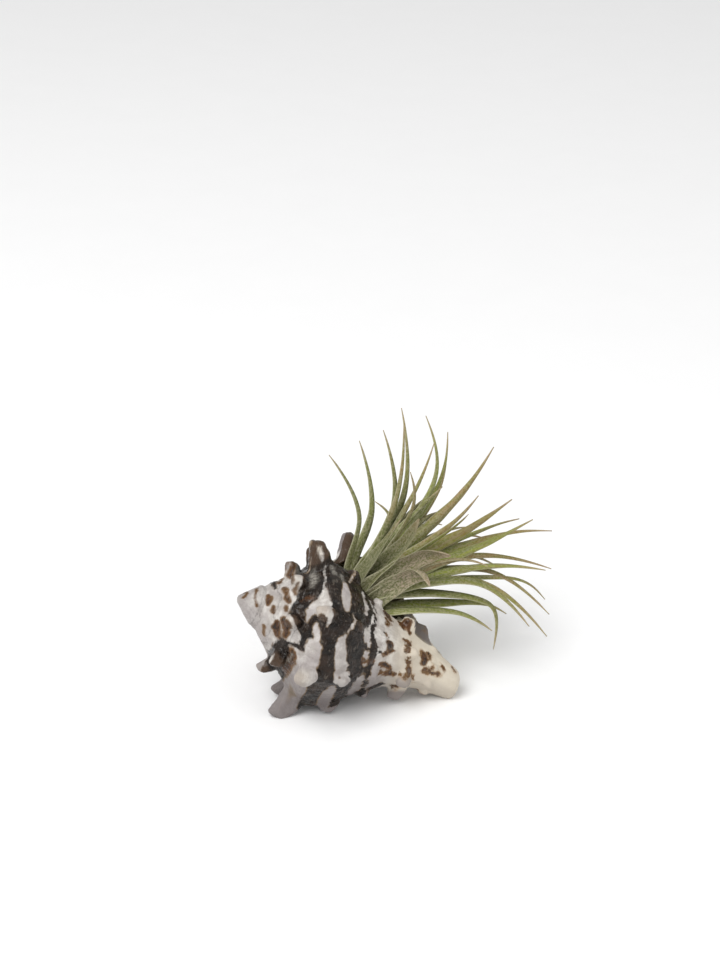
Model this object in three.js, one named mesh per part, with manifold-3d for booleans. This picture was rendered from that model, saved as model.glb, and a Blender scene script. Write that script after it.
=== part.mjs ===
// An air plant wedged in the mouth of a murex shell that lies on a table.
// Millimetres, +Z up, the table at z = 0, the shell's spire to -X and its canal to +X.
// The origin is on the table, below the middle of the whole.

import * as THREE from 'three';
import { LoftGeometry } from 'three/addons/geometries/LoftGeometry.js';
import { mergeVertices } from 'three/addons/utils/BufferGeometryUtils.js';
import Module from 'manifold-3d';

const wasm = await Module();
wasm.setup();

// ---- driving dimensions ----

const SHELL_LENGTH = 80; // apex to the end of the canal, along the coiling axis
const AXIS_DIP = THREE.MathUtils.degToRad(21.7); // the axis runs down to the canal
const APEX = new THREE.Vector3(-53.25, -16.6, 36.6);
const WHORL_GROWTH = 1.5; // size of a whorl over the one before it
const WHORL_COUNT = 5;
const LIP_ANGLE = 300; // degrees round the axis, 0 up, 90 to the front
const VARIX_SPACING = 49.3; // degrees
const VARIX_COUNT = 15;
const VARIX_HEIGHT = 1.9;
const VARIX_WIDTH = 0.15; // share of the spacing
const CORD_HEIGHT = 0.8;
const LIP_FLARE = 5.0;
const WALL = 1.8;
const COLUMELLA_RADIUS = 5.5;
const CANAL_BEND = 5; // how far the canal tip curves below the axis
const BODY_END = 50; // where the body's outline begins to run into the canal

// The full-grown whorl: distance along the axis, then radius.
const BODY_OUTLINE = [
  [13, 7.5], [17, 12.4], [20, 16], [23, 18.8], [26, 21.6], [29, 24.6], [32, 27.2], [34, 28.2],
  [38, 28.8], [44, 27.6], [50, 24.5],
];
const CANAL_OUTLINE = [
  [0, 8.2], [50, 8.2], [60, 7.4], [68, 6.4], [75, 5.6], [78.5, 5.0], [80, 3.2],
];
// Spiral cords of the full-grown whorl: place, half-width, height, then the spine it raises
// on each varix: length, root radius, lean towards the apex in degrees.
const CORDS = [
  { at: 34, width: 2.8, height: 1.8, spine: 8.5, root: 4.2, lean: 28 },
  { at: 48, width: 2.2, height: 0.9, spine: 4.6, root: 3.1, lean: 22 },
  { at: 56, width: 1.8, height: 0.8, spine: 3.2, root: 2.5, lean: -4 },
  { at: 64.5, width: 1.9, height: 0.8, spine: 5.8, root: 3.4, lean: 8 },
  { at: 71.5, width: 1.6, height: 0.7, spine: 1.8, root: 2.2, lean: 0 },
];

// Varices that stand away from the even spacing, in degrees, counted back from the lip.
const VARIX_SHIFTS = { 6: -15 };
// Shoulder spines that differ from the rest. The one on varix 3 is a foot on the table.
const SHOULDER_CHANGES = {
  0: { spine: 10.6, root: 3.5, lean: 2, turn: 0 },
  2: { at: 31, spine: 4.4, root: 3.4, lean: 42, turn: -22 },
  3: { spine: 9.8, root: 4.6, lean: 28, turn: 5 },
  6: { at: 31, spine: 10.8, root: 4.6, lean: 34, turn: 0 },
  10: { spine: 6.2, root: 3.6, lean: 52, turn: -4 },
};

const GROWTH_AXIS = new THREE.Vector3(0.66, -0.05, 0.75).normalize(); // of the rosette
const HEART = new THREE.Vector3(-8.05, -1.1, 21.8); // where the lines of the leaves meet
const STEM_FOOT = new THREE.Vector3(-13.25, -1.1, 19);
const THROAT = new THREE.Vector3(-10.25, -2.4, 31); // where the bundle leaves the mouth
const THROAT_HALF_WIDTH = 3.2;
const TIP_CURL = 0.7; // how far a leaf keeps bending beyond its elbow
const PATH_STEPS = 160; // fine steps that measure a leaf's path
const LEAF_THICKNESS = 1.2;
const LEAF_STEPS = 7;
const BACK_LEAVES = 11;
const GOLDEN_SHARE = 0.618034;
const ROOT_COUNT = 7;
const ROOT_GAP = 0.3;
const SEAT_GAP = 0.6; // between the plant and the shell

// ---- small helpers ----

// A smooth curve through points that keeps their rises and falls.
function curveThrough(points) {
  const last = points.length - 1;
  const slopes = [];
  for (let i = 0; i < last; i += 1) {
    slopes.push((points[i + 1][1] - points[i][1]) / (points[i + 1][0] - points[i][0]));
  }
  const tangents = points.map((_, i) => {
    if (i === 0) return slopes[0];
    if (i === last) return slopes[last - 1];
    const before = slopes[i - 1];
    const after = slopes[i];
    return before * after <= 0 ? 0 : (2 * before * after) / (before + after);
  });
  return (x) => {
    if (x <= points[0][0]) return points[0][1];
    if (x >= points[last][0]) return points[last][1];
    let i = 0;
    while (x > points[i + 1][0]) i += 1;
    const span = points[i + 1][0] - points[i][0];
    const t = (x - points[i][0]) / span;
    const t2 = t * t;
    const t3 = t2 * t;
    return (2 * t3 - 3 * t2 + 1) * points[i][1]
      + (t3 - 2 * t2 + t) * span * tangents[i]
      + (3 * t2 - 2 * t3) * points[i + 1][1]
      + (t3 - t2) * span * tangents[i + 1];
  };
}

function bell(x, width) {
  return Math.exp(-((x / width) ** 2));
}

// A repeatable random draw.
function seededDraw(seed) {
  let state = seed;
  return () => {
    state = (state * 1664525 + 1013904223) % 4294967296;
    return state / 4294967296;
  };
}

function solidOf(geometry) {
  const plain = new THREE.BufferGeometry();
  plain.setAttribute('position', geometry.getAttribute('position'));
  plain.setIndex(geometry.index);
  const merged = mergeVertices(plain, 1e-5);
  const mesh = new wasm.Mesh({
    numProp: 3,
    vertProperties: new Float32Array(merged.attributes.position.array),
    triVerts: new Uint32Array(merged.index.array),
  });
  return new wasm.Manifold(mesh);
}

function middleOf(section) {
  const middle = new THREE.Vector3();
  for (const point of section) middle.add(point);
  return middle.divideScalar(section.length);
}

// Whether a section runs counterclockwise as seen from the loft's far end.
function facesForward(section, next) {
  const middle = middleOf(section);
  const normal = new THREE.Vector3();
  section.forEach((point, i) => {
    const after = section[(i + 1) % section.length];
    normal.add(point.clone().sub(middle).cross(after.clone().sub(middle)));
  });
  return normal.dot(middleOf(next).sub(middle)) > 0;
}

function loftSolid(sections) {
  const forward = facesForward(sections[0], sections[1]);
  const wound = forward ? sections : sections.map((section) => [...section].reverse());
  return solidOf(new LoftGeometry(wound, { closed: true, capStart: true, capEnd: true }));
}

function biggestBody(solid) {
  const bodies = solid.decompose();
  bodies.sort((one, other) => other.volume() - one.volume());
  return bodies[0];
}

function meshOf(name, solid, material) {
  const { vertProperties, triVerts } = solid.getMesh();
  const geometry = new THREE.BufferGeometry();
  geometry.setAttribute('position', new THREE.Float32BufferAttribute(vertProperties, 3));
  geometry.setIndex(new THREE.Uint32BufferAttribute(triVerts, 1));
  geometry.computeVertexNormals();
  const mesh = new THREE.Mesh(geometry, material);
  mesh.name = name;
  return mesh;
}

// ---- the shell's surface ----

const shellAxis = new THREE.Vector3(Math.cos(AXIS_DIP), 0, -Math.sin(AXIS_DIP));
const shellUp = new THREE.Vector3(Math.sin(AXIS_DIP), 0, Math.cos(AXIS_DIP));
const shellFront = new THREE.Vector3(0, -1, 0);
const bodyRadius = curveThrough(BODY_OUTLINE);
const canalRadius = curveThrough(CANAL_OUTLINE);

function radial(angle) {
  const turn = THREE.MathUtils.degToRad(angle);
  return shellUp.clone().multiplyScalar(Math.cos(turn)).addScaledVector(shellFront, Math.sin(turn));
}

function shellPoint(along, angle, radius) {
  const bend = CANAL_BEND * (Math.max(0, along - 45) / 35) ** 2;
  return APEX.clone()
    .addScaledVector(shellAxis, along)
    .addScaledVector(shellUp, -bend)
    .addScaledVector(radial(angle), radius);
}

// Growth in whorls at an angle: 0 at the lip, negative further back in the coil.
function growthAt(angle, whorl) {
  const round = (((angle - LIP_ANGLE) % 360) + 360) % 360;
  return round / 360 - 1 - whorl;
}

// Turns of the varices back from the lip, in degrees.
const varixTurns = [];
for (let varix = 0; varix < 36; varix += 1) {
  varixTurns.push(-varix * VARIX_SPACING + (VARIX_SHIFTS[varix] ?? 0));
}

function sizeAt(growth) {
  return WHORL_GROWTH ** growth;
}

// Place on the full-grown outline of a point along a whorl of some size.
function outlinePlace(along, size) {
  if (along <= BODY_END * size) return along / size;
  const share = (along - BODY_END * size) / (SHELL_LENGTH - BODY_END * size);
  return BODY_END + share * (SHELL_LENGTH - BODY_END);
}

function alongFor(place, size) {
  if (place <= BODY_END) return place * size;
  const share = (place - BODY_END) / (SHELL_LENGTH - BODY_END);
  return BODY_END * size + share * (SHELL_LENGTH - BODY_END * size);
}

function whorlRadius(along, size) {
  const place = outlinePlace(along, size);
  if (place < BODY_OUTLINE[0][0]) return 0;
  if (place <= BODY_END) return size * bodyRadius(place);
  const share = (place - BODY_END) / (SHELL_LENGTH - BODY_END);
  const drop = size * bodyRadius(BODY_END) - canalRadius(BODY_END * size);
  return canalRadius(along) + drop * (1 - share) ** 3;
}

function lipFlare(growth, place) {
  return LIP_FLARE * bell(growth, 0.05) * bell(place - 58, 14);
}

function whorlRelief(along, growth) {
  const size = sizeAt(growth);
  const place = outlinePlace(along, size);
  const offVarix = Math.min(...varixTurns.map((turn) => Math.abs(growth * 360 - turn)));
  const varix = bell(offVarix / VARIX_SPACING, VARIX_WIDTH);
  const strength = 0.35 + 0.65 * bell(place - 36, 13);
  let relief = size * VARIX_HEIGHT * strength * (varix - 0.25);
  for (const cord of CORDS) {
    relief += size * cord.height * CORD_HEIGHT * bell(place - cord.at, cord.width) * (0.6 + 0.4 * varix);
  }
  relief += lipFlare(growth, place);
  const fade = THREE.MathUtils.clamp((SHELL_LENGTH - along) / 8, 0, 1);
  return relief * fade;
}

function shellRadius(along, angle) {
  let radius = along < 7 ? 0.35 + 1.02 * along ** 0.95 : 0;
  for (let whorl = 0; whorl < WHORL_COUNT; whorl += 1) {
    const growth = growthAt(angle, whorl);
    const plain = whorlRadius(along, sizeAt(growth));
    if (plain > 0) radius = Math.max(radius, plain + whorlRelief(along, growth));
  }
  return radius;
}

function outsideSolid() {
  const stations = [];
  for (let along = 0.4; along < 22; along += 2.1) stations.push(along);
  for (let along = 23; along < 60; along += 2.5) stations.push(along);
  for (let along = 61; along < 79; along += 3.4) stations.push(along);
  stations.push(79.2, SHELL_LENGTH);
  const turns = [];
  const steps = 36;
  for (let i = 0; i <= steps; i += 1) {
    turns.push(LIP_ANGLE + 0.8 + ((360 - 0.9) * i) / steps);
  }
  const sections = stations.map((along) => turns.map((angle) => (
    shellPoint(along, angle, shellRadius(along, angle))
  )));
  return loftSolid(sections);
}

// A blunt spine that stands on a varix and leans towards the apex.
function spineSolid(angle, size, cord) {
  const along = alongFor(cord.at, size);
  const reach = whorlRadius(along, size);
  const sunk = Math.min(3, reach * 0.3);
  const length = cord.spine * size;
  const lean = THREE.MathUtils.degToRad(cord.lean);
  const sides = 6;
  const rings = cord.spine > 4 ? 5 : 3;
  const sections = [];
  for (let i = 0; i < rings; i += 1) {
    const t = i / (rings - 1);
    const out = -sunk + (length + sunk) * Math.sin((t * Math.PI) / 2) ** 0.9;
    const back = Math.tan(lean) * Math.max(0, out) * (0.5 + 0.5 * t);
    const taper = [1, 0.95, 0.82, 0.68, 0.38][Math.round(t * 4)];
    const width = cord.root * size ** 0.45 * taper;
    const centre = shellPoint(along - back, angle, reach + out);
    const outward = radial(angle);
    const tangent = radial(angle + 90);
    const axial = shellAxis.clone().addScaledVector(outward, Math.tan(lean) * 0.5).normalize();
    const ring = [];
    for (let j = 0; j < sides; j += 1) {
      const turn = (j / sides) * Math.PI * 2;
      ring.push(centre.clone()
        .addScaledVector(axial, Math.cos(turn) * width)
        .addScaledVector(tangent, Math.sin(turn) * width * 0.8));
    }
    sections.push(ring);
  }
  return loftSolid(sections);
}

function spineSolids() {
  const spines = [];
  for (let varix = 0; varix < VARIX_COUNT; varix += 1) {
    const size = sizeAt(varixTurns[varix] / 360);
    const shoulder = { ...CORDS[0], turn: 0, ...SHOULDER_CHANGES[varix] };
    const angle = LIP_ANGLE + varixTurns[varix] - 2;
    spines.push(spineSolid(angle + shoulder.turn, size, shoulder));
    if (varixTurns[varix] < -360) continue;
    for (const cord of CORDS.slice(1)) spines.push(spineSolid(angle, size, cord));
  }
  return spines;
}

// The hollow of the last whorl, from the mouth back into the coil.
function hollowSolid() {
  const sections = [];
  for (let turn = 8; turn >= -235; turn -= turn > -20 ? 7 : 16) {
    const growth = turn / 360;
    const size = sizeAt(growth);
    const inner = sizeAt(growth - 1);
    const from = 25.5 * size;
    const to = alongFor(57, size);
    const outerLine = [];
    const innerLine = [];
    const steps = 7;
    for (let i = 0; i <= steps; i += 1) {
      const along = THREE.MathUtils.lerp(from, to, i / steps);
      const place = along / size;
      const outer = whorlRadius(along, size) + lipFlare(growth, place) * 0.9 - WALL;
      const parietal = whorlRadius(along, inner) + 0.9;
      const open = THREE.MathUtils.smoothstep(place, 34, 46);
      const deep = THREE.MathUtils.lerp(parietal, COLUMELLA_RADIUS, open);
      const middle = (outer + deep) / 2;
      const half = Math.max(0.5, (outer - deep) / 2);
      const pinch = i === 0 || i === steps ? 0.25 : 1;
      outerLine.push(shellPoint(along, LIP_ANGLE + turn, middle + half * pinch));
      innerLine.push(shellPoint(along, LIP_ANGLE + turn, middle - half * pinch));
    }
    sections.push([...outerLine, ...innerLine.reverse()]);
  }
  return loftSolid(sections);
}

// The open groove of the canal.
function canalGrooveSolid() {
  const sections = [];
  const half = 1.5;
  for (let along = 50; along <= 86; along += 3) {
    const angle = LIP_ANGLE + THREE.MathUtils.mapLinear(along, 50, 86, 3, 18);
    const across = radial(angle + 90);
    const floor = shellPoint(along, angle, THREE.MathUtils.mapLinear(along, 50, 86, 4.5, 0.8));
    const rim = shellPoint(along, angle, 22);
    sections.push([
      floor.clone().addScaledVector(across, half),
      floor.clone().addScaledVector(across, -half),
      rim.clone().addScaledVector(across, -half),
      rim.clone().addScaledVector(across, half),
    ]);
  }
  return loftSolid(sections);
}

function shellSolid() {
  let solid = outsideSolid();
  for (const spine of spineSolids()) solid = solid.add(spine);
  const belowTable = new THREE.BoxGeometry(300, 300, 40).translate(0, 0, -20);
  solid = solid.subtract(hollowSolid()).subtract(canalGrooveSolid()).subtract(solidOf(belowTable));
  return biggestBody(solid);
}

// ---- the rosette ----

const BLUNT_LEAVES = [7, 28, 29]; // rows that end blunt, the others taper

// Leaves of the front, measured from the heart in a frame that leans back 30 degrees:
// [tip to the right, tip up, tip to the front, elbow to the right, elbow up,
// gate towards the canal, width].
const FRONT_LEAVES = [
  [-14.9, 51.5, 14, -4.5, 32.4, -8.3, 4.8], [-3.9, 57.6, -6, 0.6, 34.5, -6.2, 5.6],
  [0.7, 36.8, 4, 5.8, 31.3, -4.2, 6], [3.8, 60.7, 0, 7.9, 36.0, -2.6, 5.8],
  [10.5, 68.7, -8, 11.8, 40.9, -1.2, 5], [10.5, 62.1, 3, 8.4, 37.9, -2.2, 5],
  [11.4, 45.7, 18, 12.9, 34.6, -1.2, 5.8], [13.3, 30.0, 30, 10.2, 22.3, -2, 5.2],
  [21.2, 56.6, -4, 15.8, 42.5, -1, 3.8], [18.7, 66.1, -8, 22.1, 46.0, 0.5, 4.6],
  [26.7, 61.0, -14, 23.4, 43.4, 0.5, 4.4], [27.0, 55.4, -22, 23.4, 41.0, 0.5, 3.8],
  [41.9, 55.7, -10, 30.4, 39.5, 0.5, 6], [34.2, 38.2, 13, 26.8, 29.8, 1, 5],
  [30.1, 31.9, 20, 25.4, 27.3, 1, 4.4], [46.2, 37.4, 4, 32.0, 27.8, -0.3, 7.6],
  [50.6, 31.5, -12, 38.6, 28.1, 0, 3.6], [52.6, 30.6, 8, 39.2, 23.9, 2, 6.8],
  [60.9, 27.3, -6, 42.6, 26.0, 0, 5.2], [61.1, 14.6, -10, 34.9, 19.4, 0.5, 5.2],
  [57.0, 13.9, 6, 36.1, 15.7, 1.5, 7.4], [59.0, -0.7, 0, 37.5, 14.5, 0, 5.6],
  [59.9, 4.2, -18, 49.6, 11.2, 2.5, 4.2], [57.1, -7.9, 8, 35.8, 10.4, 1.6, 6.8],
  [50.0, -4.5, 18, 33.7, 10.3, 2.2, 8.4], [38.9, -12.0, 12, 38.9, 2.6, 2, 8.2],
  [45.0, -0.5, -3, 36.7, 3.2, 7.4, 7.4], [37.6, -5.8, 20, 26.9, 0.4, 7.5, 8],
  [16.1, 8.6, 36, 13.6, 13.2, 2, 5.2], [22.9, 18.3, 34, 16.1, 18.8, -0.5, 5.2],
  [7.7, 30.2, 26, 1.6, 19.8, -3.4, 8], [35.7, 15.0, 26, 24.4, 17.3, 1, 7.6],
];

function leafSolid({ root, gate, tip, elbow, width, blunt }) {
  const inner = elbow.clone().sub(gate).normalize();
  const outer = tip.clone().sub(elbow).normalize();
  const curl = outer.clone().sub(inner).multiplyScalar(TIP_CURL);
  const beyond = outer.add(curl).normalize().multiplyScalar(tip.distanceTo(elbow)).add(tip);
  const path = new THREE.CatmullRomCurve3([root, gate, elbow, tip, beyond]);
  const lengths = path.getLengths(PATH_STEPS);
  const reach = lengths[(PATH_STEPS * 3) / 4] / lengths[PATH_STEPS]; // the tip ends the third span
  const flat = GROWTH_AXIS.clone().cross(tip.clone().sub(HEART)).normalize();
  const sections = [];
  for (let i = 0; i <= LEAF_STEPS; i += 1) {
    const t = i / LEAF_STEPS;
    const centre = path.getPointAt(t * reach);
    const along = path.getTangentAt(t * reach);
    const across = flat.clone().addScaledVector(along, -flat.dot(along)).normalize();
    const under = across.clone().cross(along).negate();
    const narrow = blunt ? -0.25 : 0.45; // a blunt leaf is broadest where it leaves the stem
    const sheath = 1 - narrow * (1 - THREE.MathUtils.smoothstep(t, 0, blunt ? 0.5 : 0.2));
    const taper = blunt ? 1 - t ** 3 : (1 - t) ** 1.1;
    const half = (width / 2) * 1.35 * sheath * taper + 0.35;
    const thick = LEAF_THICKNESS * (0.5 + 0.5 * (1 - t));
    const cup = half * 0.42;
    sections.push([
      centre.clone().addScaledVector(across, half).addScaledVector(under, -cup),
      centre.clone().addScaledVector(under, thick / 2),
      centre.clone().addScaledVector(across, -half).addScaledVector(under, -cup),
      centre.clone().addScaledVector(under, -thick / 2),
    ]);
  }
  return loftSolid(sections);
}

// A place near the heart, in the frame that leans back 30 degrees.
function fromHeart(right, up, forward) {
  const lean = Math.PI / 6;
  return HEART.clone().add(new THREE.Vector3(
    right,
    Math.sin(lean) * up - Math.cos(lean) * forward,
    Math.cos(lean) * up + Math.sin(lean) * forward,
  ));
}

function rosetteSolid() {
  const draw = seededDraw(11);
  const leaves = FRONT_LEAVES.map(([right, up, forward, elbowRight, elbowUp, toCanal, width]) => ({
    tip: fromHeart(right, up, forward),
    elbow: fromHeart(elbowRight, elbowUp, forward * 0.62),
    toCanal,
    width,
  }));
  const toBack = new THREE.Vector3(0, 1, 0);
  toBack.addScaledVector(GROWTH_AXIS, -toBack.dot(GROWTH_AXIS)).normalize();
  const mouthWay = toBack.clone().cross(GROWTH_AXIS);
  for (let i = 0; i < BACK_LEAVES; i += 1) {
    const fan = THREE.MathUtils.degToRad(-14 + 72 * ((i * GOLDEN_SHARE) % 1));
    const spread = THREE.MathUtils.degToRad(32 + 30 * ((i + 0.5) / BACK_LEAVES));
    const length = 50 - 7 * (i / BACK_LEAVES) + 4 * draw();
    const side = toBack.clone().multiplyScalar(Math.cos(fan)).addScaledVector(mouthWay, Math.sin(fan));
    const way = GROWTH_AXIS.clone().multiplyScalar(Math.cos(spread)).addScaledVector(side, Math.sin(spread));
    const droop = 2 + 5 * draw();
    leaves.push({
      tip: HEART.clone().addScaledVector(way, length).add(new THREE.Vector3(0, 0, -droop)),
      elbow: HEART.clone().addScaledVector(way, length * 0.64).add(new THREE.Vector3(0, 0, 4 + droop * 0.5)),
      toCanal: 5.5 * Math.sin(fan) - 2,
      width: 4.2 + 1.2 * draw(),
    });
  }
  let solid = stemSolid();
  leaves.forEach((leaf, i) => {
    const out = leaf.elbow.clone().sub(HEART);
    out.addScaledVector(GROWTH_AXIS, -out.dot(GROWTH_AXIS)).normalize();
    const root = STEM_FOOT.clone().lerp(THROAT, 0.45 * ((i * GOLDEN_SHARE) % 1))
      .addScaledVector(out, 3.4);
    const gate = THROAT.clone().addScaledVector(mouthWay, leaf.toCanal)
      .addScaledVector(toBack, out.dot(toBack) * THROAT_HALF_WIDTH - 0.4 * leaf.toCanal);
    const blunt = BLUNT_LEAVES.includes(i);
    solid = solid.add(leafSolid({ root, gate, blunt, ...leaf }));
  });
  return solid;
}

// Dry wiry roots that hang from the stem into the hollow of the shell.
function rootsSolid() {
  const draw = seededDraw(5);
  const up = THROAT.clone().sub(STEM_FOOT).normalize();
  const top = STEM_FOOT.clone().addScaledVector(up, -ROOT_GAP);
  const side = new THREE.Vector3(0, 1, 0).cross(up).normalize();
  const rear = up.clone().cross(side).normalize();
  const ringAt = (centre, radius, sides) => {
    const ring = [];
    for (let j = 0; j < sides; j += 1) {
      const turn = (j / sides) * Math.PI * 2;
      ring.push(centre.clone().addScaledVector(side, Math.cos(turn) * radius)
        .addScaledVector(rear, Math.sin(turn) * radius));
    }
    return ring;
  };
  const low = (depth) => top.clone().addScaledVector(up, -depth);
  let solid = loftSolid([ringAt(top, 2.2, 7), ringAt(low(1.2), 2.4, 7), ringAt(low(2.6), 1.2, 7)]);
  for (let i = 0; i < ROOT_COUNT; i += 1) {
    const turn = i * GOLDEN_SHARE * Math.PI * 2;
    const out = side.clone().multiplyScalar(Math.cos(turn)).addScaledVector(rear, Math.sin(turn));
    const reach = 1.5 + 2.2 * draw();
    const depth = 5.5 + 2.5 * draw();
    const path = new THREE.QuadraticBezierCurve3(
      low(0.8).addScaledVector(out, 1),
      low(depth * 0.45).addScaledVector(out, reach),
      low(depth).addScaledVector(out, reach * 0.7),
    );
    const rings = [0, 0.5, 1].map((t) => ringAt(path.getPoint(t), 0.6 - 0.2 * t, 5));
    solid = solid.add(loftSolid(rings));
  }
  return solid;
}

function stemSolid() {
  const up = THROAT.clone().sub(STEM_FOOT).normalize();
  const side = new THREE.Vector3(0, 1, 0).cross(up).normalize();
  const rear = up.clone().cross(side).normalize();
  const profile = [[0, 2.8], [2.5, 4.8], [6, 6], [9, 5.4], [12, 3.6], [14, 1.4]];
  const sections = profile.map(([height, radius]) => {
    const ring = [];
    for (let j = 0; j < 8; j += 1) {
      const turn = (j / 8) * Math.PI * 2;
      ring.push(STEM_FOOT.clone().addScaledVector(up, height)
        .addScaledVector(side, Math.cos(turn) * radius)
        .addScaledVector(rear, Math.sin(turn) * radius));
    }
    return ring;
  });
  return loftSolid(sections);
}

// ---- assembly ----

const shellMaterial = new THREE.MeshStandardMaterial({ color: 0xd9cfc4, roughness: 0.5, metalness: 0 });
const leafMaterial = new THREE.MeshStandardMaterial({ color: 0x7f8f5e, roughness: 0.7, metalness: 0 });
const rootMaterial = new THREE.MeshStandardMaterial({ color: 0x6b4a32, roughness: 0.8, metalness: 0 });

const shell = meshOf('murex_shell', shellSolid().simplify(0.2), shellMaterial);

// The shell grown outwards by the gap, which keeps the plant clear of it.
const seatGeometry = shell.geometry.clone();
const places = seatGeometry.attributes.position;
const normals = seatGeometry.attributes.normal;
for (let i = 0; i < places.count; i += 1) {
  places.setXYZ(
    i,
    places.getX(i) + SEAT_GAP * normals.getX(i),
    places.getY(i) + SEAT_GAP * normals.getY(i),
    places.getZ(i) + SEAT_GAP * normals.getZ(i),
  );
}
const seat = solidOf(seatGeometry);

function seated(solid) {
  return biggestBody(solid.subtract(seat).simplify(0.07));
}

const airPlant = new THREE.Group();
airPlant.add(shell);
airPlant.add(meshOf('rosette', seated(rosetteSolid()), leafMaterial));
airPlant.add(meshOf('roots', seated(rootsSolid()), rootMaterial));

export default airPlant;
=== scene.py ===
"""An air plant wedged in the mouth of a murex shell, on a pale table."""
import math

import bmesh
import bpy
import numpy as np
from mathutils import Matrix, Vector, noise
from mathutils.bvhtree import BVHTree


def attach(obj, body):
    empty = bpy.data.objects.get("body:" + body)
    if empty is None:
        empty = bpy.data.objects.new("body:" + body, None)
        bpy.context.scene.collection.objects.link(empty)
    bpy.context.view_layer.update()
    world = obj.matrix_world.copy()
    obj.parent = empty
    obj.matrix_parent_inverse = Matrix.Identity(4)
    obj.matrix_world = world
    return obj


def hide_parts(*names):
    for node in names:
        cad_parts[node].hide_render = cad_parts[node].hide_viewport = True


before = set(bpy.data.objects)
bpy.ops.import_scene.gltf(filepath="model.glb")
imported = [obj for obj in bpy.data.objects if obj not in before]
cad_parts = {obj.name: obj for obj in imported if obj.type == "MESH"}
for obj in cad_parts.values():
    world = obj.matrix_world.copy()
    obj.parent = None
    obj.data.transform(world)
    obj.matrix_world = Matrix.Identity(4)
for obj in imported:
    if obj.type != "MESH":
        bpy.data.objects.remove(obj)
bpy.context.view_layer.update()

MM = 0.001

# ---- the shell's growth, in millimetres ----

SHELL_LENGTH = 80.0
AXIS_DIP = math.radians(21.7)
APEX = np.array([-53.25, -16.6, 36.6])
WHORL_GROWTH = 1.5
WHORL_COUNT = 5
LIP_ANGLE = 300.0
VARIX_SPACING = 49.3
VARIX_COUNT = 15
VARIX_HEIGHT = 1.9
VARIX_WIDTH = 0.15
CORD_HEIGHT = 0.8
LIP_FLARE = 5.0
WALL = 1.8
COLUMELLA_RADIUS = 5.5
CANAL_BEND = 5.0
CANAL_BEND_START = 45.0
BODY_END = 50.0
PLAIN_TIP = 7.0  # how much of the spire is a plain cone
HOLLOW_START, HOLLOW_END = 25.5, 57.0
GROOVE_START, GROOVE_END = 50, 86
BODY_OUTLINE = [
    (13, 7.5), (17, 12.4), (20, 16), (23, 18.8), (26, 21.6), (29, 24.6), (32, 27.2), (34, 28.2),
    (38, 28.8), (44, 27.6), (50, 24.5),
]
CANAL_OUTLINE = [(0, 8.2), (50, 8.2), (60, 7.4), (68, 6.4), (75, 5.6), (78.5, 5.0), (80, 3.2)]
# Spiral cords: place, half-width, height, then the spine: length, root radius, lean.
CORDS = [
    (34, 2.8, 1.8, 8.5, 4.2, 28),
    (48, 2.2, 0.9, 4.6, 3.1, 22),
    (56, 1.8, 0.8, 3.2, 2.5, -4),
    (64.5, 1.9, 0.8, 5.8, 3.4, 8),
    (71.5, 1.6, 0.7, 1.8, 2.2, 0),
]
WIDE_VARIX, WIDE_GAP = 6, 15  # one varix stands further back than its turn
VARIX_TURNS = np.array([-k * VARIX_SPACING - WIDE_GAP * (k == WIDE_VARIX) for k in range(36)])
# Shoulder spines that differ from the rest: varix, then place, length, root, lean, turn.
SHOULDER_SPINES = {
    0: (34, 10.6, 3.5, 2, 0), 2: (31, 4.4, 3.4, 42, -22), 3: (34, 9.8, 4.6, 28, 5),
    6: (31, 10.8, 4.6, 34, 0), 10: (34, 6.2, 3.6, 52, -4),
}
VOXEL = 0.485

# ---- the rosette's growth ----

HEART = np.array([-8.05, -1.1, 21.8])
STEM_FOOT = np.array([-13.25, -1.1, 19.0])
THROAT = np.array([-10.25, -2.4, 31.0])
THROAT_HALF_WIDTH = 3.2
TIP_CURL = 0.7  # how far a leaf keeps bending beyond its elbow
BACK_LEAVES = 11
ROOT_COUNT = 7
ROOT_GAP = 0.3
GOLDEN_SHARE = 0.618034
ELBOW_DEPTH = 0.62  # how far forward a leaf bends, as a share of its tip's way
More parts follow.
